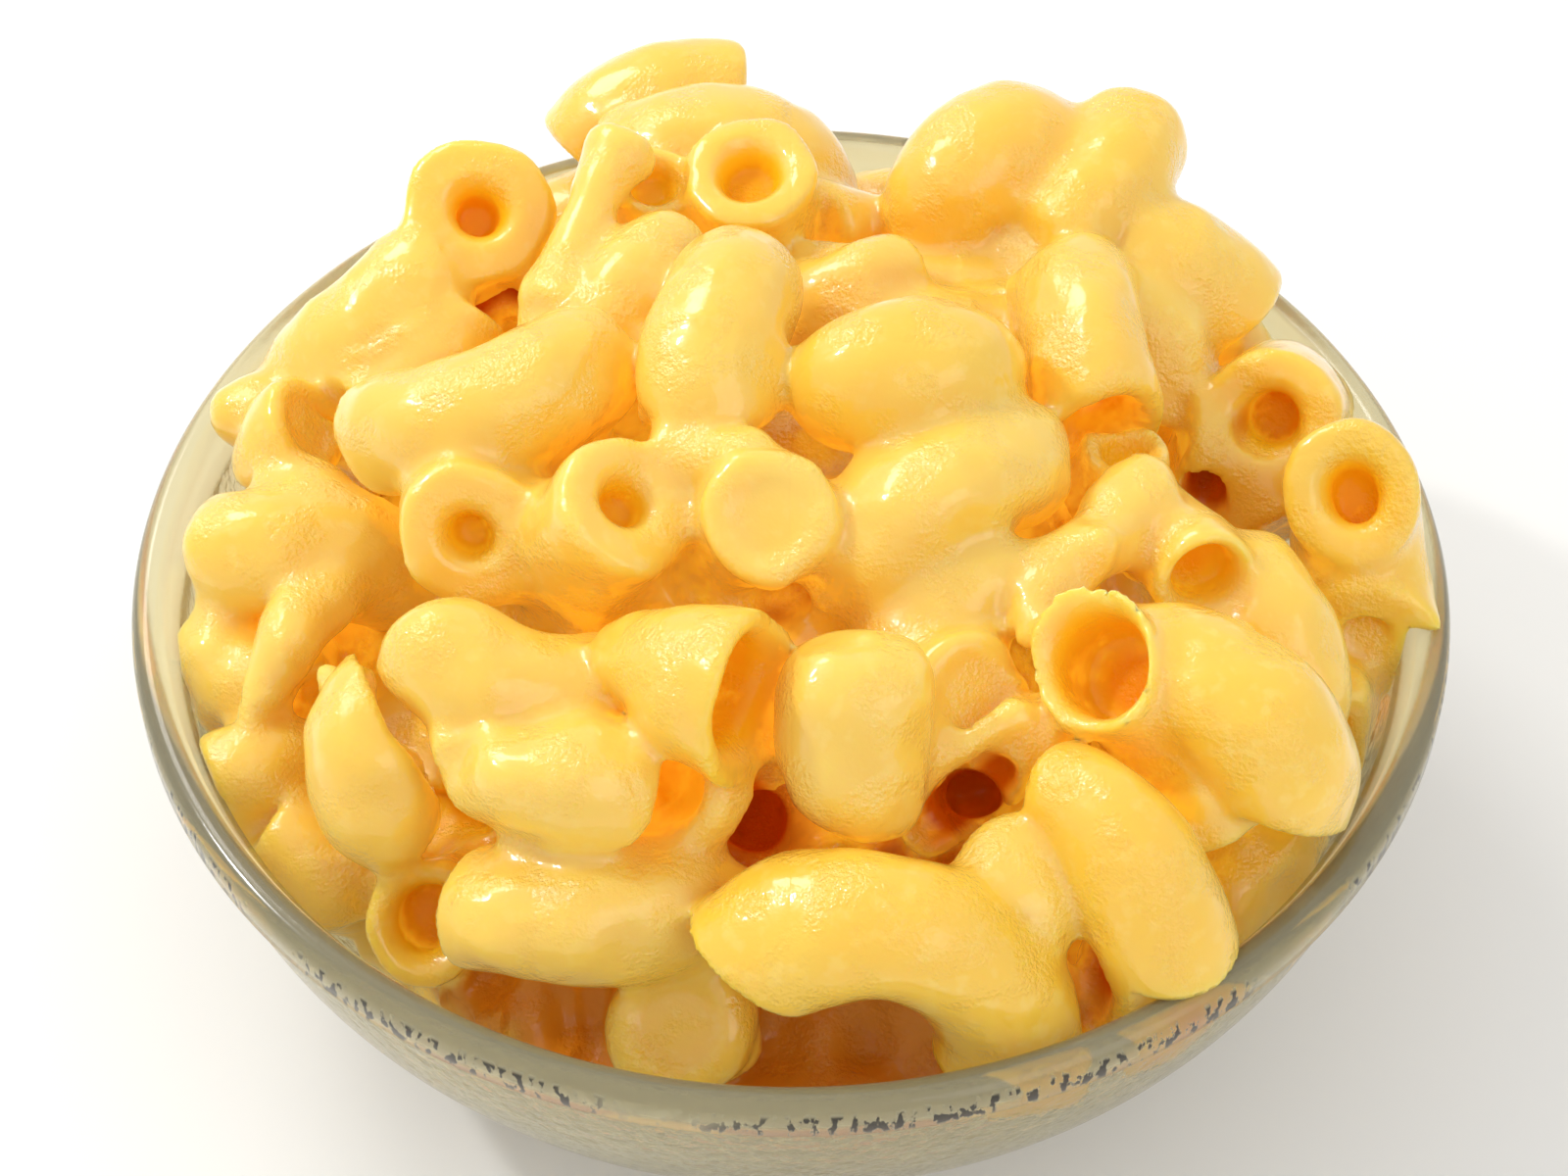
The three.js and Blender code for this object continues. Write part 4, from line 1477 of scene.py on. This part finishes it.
@dataclass
class GlassBowl:
    """The pressed bowl: a closed lathe with a bead at the rim, a curved wall and a foot ring."""

    form: BowlForm
    sides: int = 256
    wall_rows: int = 40
    bead_rows: int = 14

    def profile(self) -> np.ndarray:
        """Radius and height of the section, from the underside's middle round to the floor's.

        Returns:
            One row for each point.
        """
        form = self.form
        foot_in = form.foot_radius - form.foot_width
        round_in = 0.25
        section = [
            (0, form.foot_height),
            (foot_in - 1.5, form.foot_height),
            (foot_in - round_in, form.foot_height - 0.1),
            (foot_in, form.foot_height - 0.4),
            (foot_in + 0.1, 0.2),
            (foot_in + 0.4, 0),
            (form.foot_radius - 0.4, 0),
            (form.foot_radius - 0.08, 0.2),
            (form.foot_radius, 0.5),
            (form.foot_radius + 0.2, form.foot_height),
        ]
        turn = np.linspace(0, np.pi / 2, self.wall_rows)
        top, bottom = form.bead_height + 0.5, form.height - form.foot_height - 0.6
        depth = top + (bottom - top) * np.sin(turn[::-1])
        section += list(zip(form.outer(depth), form.height - depth))
        section += [
            (form.wall_radius + 0.35, form.height - form.bead_height - 0.25),
            (form.rim_radius - 0.25, form.height - form.bead_height - 0.05),
            (form.rim_radius, form.height - form.bead_height + 0.35),
        ]
        half = form.bead_width / 2
        bead = np.linspace(0, np.pi, self.bead_rows)
        across = form.rim_radius - half + half * np.cos(bead)
        section += list(zip(across, form.height - half + half * np.sin(bead)))
        depth = form.bead_height + (form.inner_depth - form.bead_height) * np.sin(turn)
        section += list(zip(form.inner(depth), form.height - depth))
        section[-1] = (0, section[-1][1])
        return np.array(section)

    def build(self) -> bpy.types.Object:
        """Revolve the section and close both poles.

        Returns:
            The bowl.
        """
        profile = self.profile()
        points, quads = revolve(profile, self.sides)
        rows = len(profile) - 2
        under, floor = len(points) - 2, len(points) - 1
        j = np.arange(self.sides)
        k = (j + 1) % self.sides
        last = (rows - 1) * self.sides
        fans = [(k, j, under), (last + j, last + k, floor)]
        bowl = add_mesh("glass_bowl_clear", points, quads)
        mesh = bowl.data
        triangles = [np.stack([a, b, np.full_like(a, p)], -1) for a, b, p in fans]
        faces = quads.tolist() + [t for group in triangles for t in group.tolist()]
        mesh.clear_geometry()
        mesh.from_pydata((points * MM).tolist(), [], faces)
        mesh.polygons.foreach_set("use_smooth", np.ones(len(mesh.polygons), bool))
        mesh.update()
        return bowl

    def dress(self, bowl: bpy.types.Object) -> None:
        """Give the bowl its glass, stippled from just under the bead."""
        bowl.data.materials.append(PressedGlass().make(self.form))


@dataclass
class Studio:
    """Floor, lights and camera."""

    rim_height: float
    camera_distance: float = 225.0
    camera_elevation: float = 47.83
    aim: Triple = (-0.46, -3.24, 0.0)  # from the middle of the rim
    lens_mm: float = 75.3
    floor_half: float = 2000.0
    room_light: float = 0.84

    def floor(self) -> None:
        """A wide pale sheet under the bowl, with its middle at the origin."""
        half = self.floor_half
        corners = np.array([[-half, -half, 0], [half, -half, 0], [half, half, 0], [-half, half, 0]])
        sheet = add_mesh("floor", corners.astype(float), np.array([[0, 1, 2, 3]]))
        sheet.data.materials.append(PaleFloor().make())
        sheet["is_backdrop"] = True

    def light(
        self, name: str, place: Triple, size: float, watts: float, colour: str = "FFFFFF"
    ) -> None:
        """Add a square area light that faces the heap.

        Args:
            name: the light's name.
            place: where it hangs, in millimetres.
            size: its side, in millimetres.
            watts: its power.
            colour: its tint.
        """
        data = bpy.data.lights.new(name, "AREA")
        data.size = size * MM
        data.energy = watts
        data.color = linear_rgba(colour)[:3]
        lamp = bpy.data.objects.new(name, data)
        lamp.location = Vector(place) * MM
        target = Vector((0, 0, self.rim_height)) * MM
        lamp.rotation_euler = (target - lamp.location).to_track_quat("-Z", "Y").to_euler()
        bpy.context.scene.collection.objects.link(lamp)

    def camera(self) -> None:
        """Look down on the bowl from the front, as over a table's edge."""
        data = bpy.data.cameras.new("camera")
        data.lens = self.lens_mm
        data.sensor_width = 36.0
        data.clip_start = 0.01
        camera = bpy.data.objects.new("camera", data)
        angle = math.radians(self.camera_elevation)
        away = Vector((0, -math.cos(angle), math.sin(angle))) * self.camera_distance
        middle = Vector((0, 0, self.rim_height))
        camera.location = (middle + away) * MM
        look = (middle + Vector(self.aim)) * MM - camera.location
        camera.rotation_euler = look.to_track_quat("-Z", "Y").to_euler()
        bpy.context.scene.collection.objects.link(camera)
        bpy.context.scene.camera = camera

    def build(self) -> None:
        """Set up the whole studio."""
        self.camera()
        self.floor()
        self.light("key", (-210, 250, 380), 170, 0.58, "FFFDF8")
        self.light("fill", (260, -300, 300), 300, 0.3)
        self.light("window", (-250, 60, 300), 26, 0.38)
        world = bpy.data.worlds.new("soft_room")
        world.use_nodes = True
        background = world.node_tree.nodes["Background"]
        background.inputs["Color"].default_value = linear_rgba("FFFFFF")
        background.inputs["Strength"].default_value = self.room_light
        bpy.context.scene.world = world
        bpy.context.scene.view_settings.view_transform = "Standard"


def main() -> None:
    """Build the bowl, its food and the studio, and report each piece."""
    logging.basicConfig(level=logging.INFO, format="%(name)s: %(message)s")
    cad_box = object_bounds()
    form = BowlForm()
    Studio(form.height).build()
    bowl = GlassBowl(form)
    glass = bowl.build()
    bowl.dress(glass)
    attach(glass, ROOT)
    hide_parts("glass_bowl")
    heap = MacaroniHeap(form)
    food = SaucedPasta().make(form.height - heap.join_depth)
    for piece in heap.build():
        piece.data.materials.append(food)
        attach(piece, ROOT)
        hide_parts("macaroni_heap")
        LOG.info("%s rides on %s", piece.name, ROOT)
    sizes = {"cad": cad_box, "visual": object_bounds()}
    plain = {key: [[float(v) for v in corner] for corner in box] for key, box in sizes.items()}


if __name__ == "__main__":
    main()
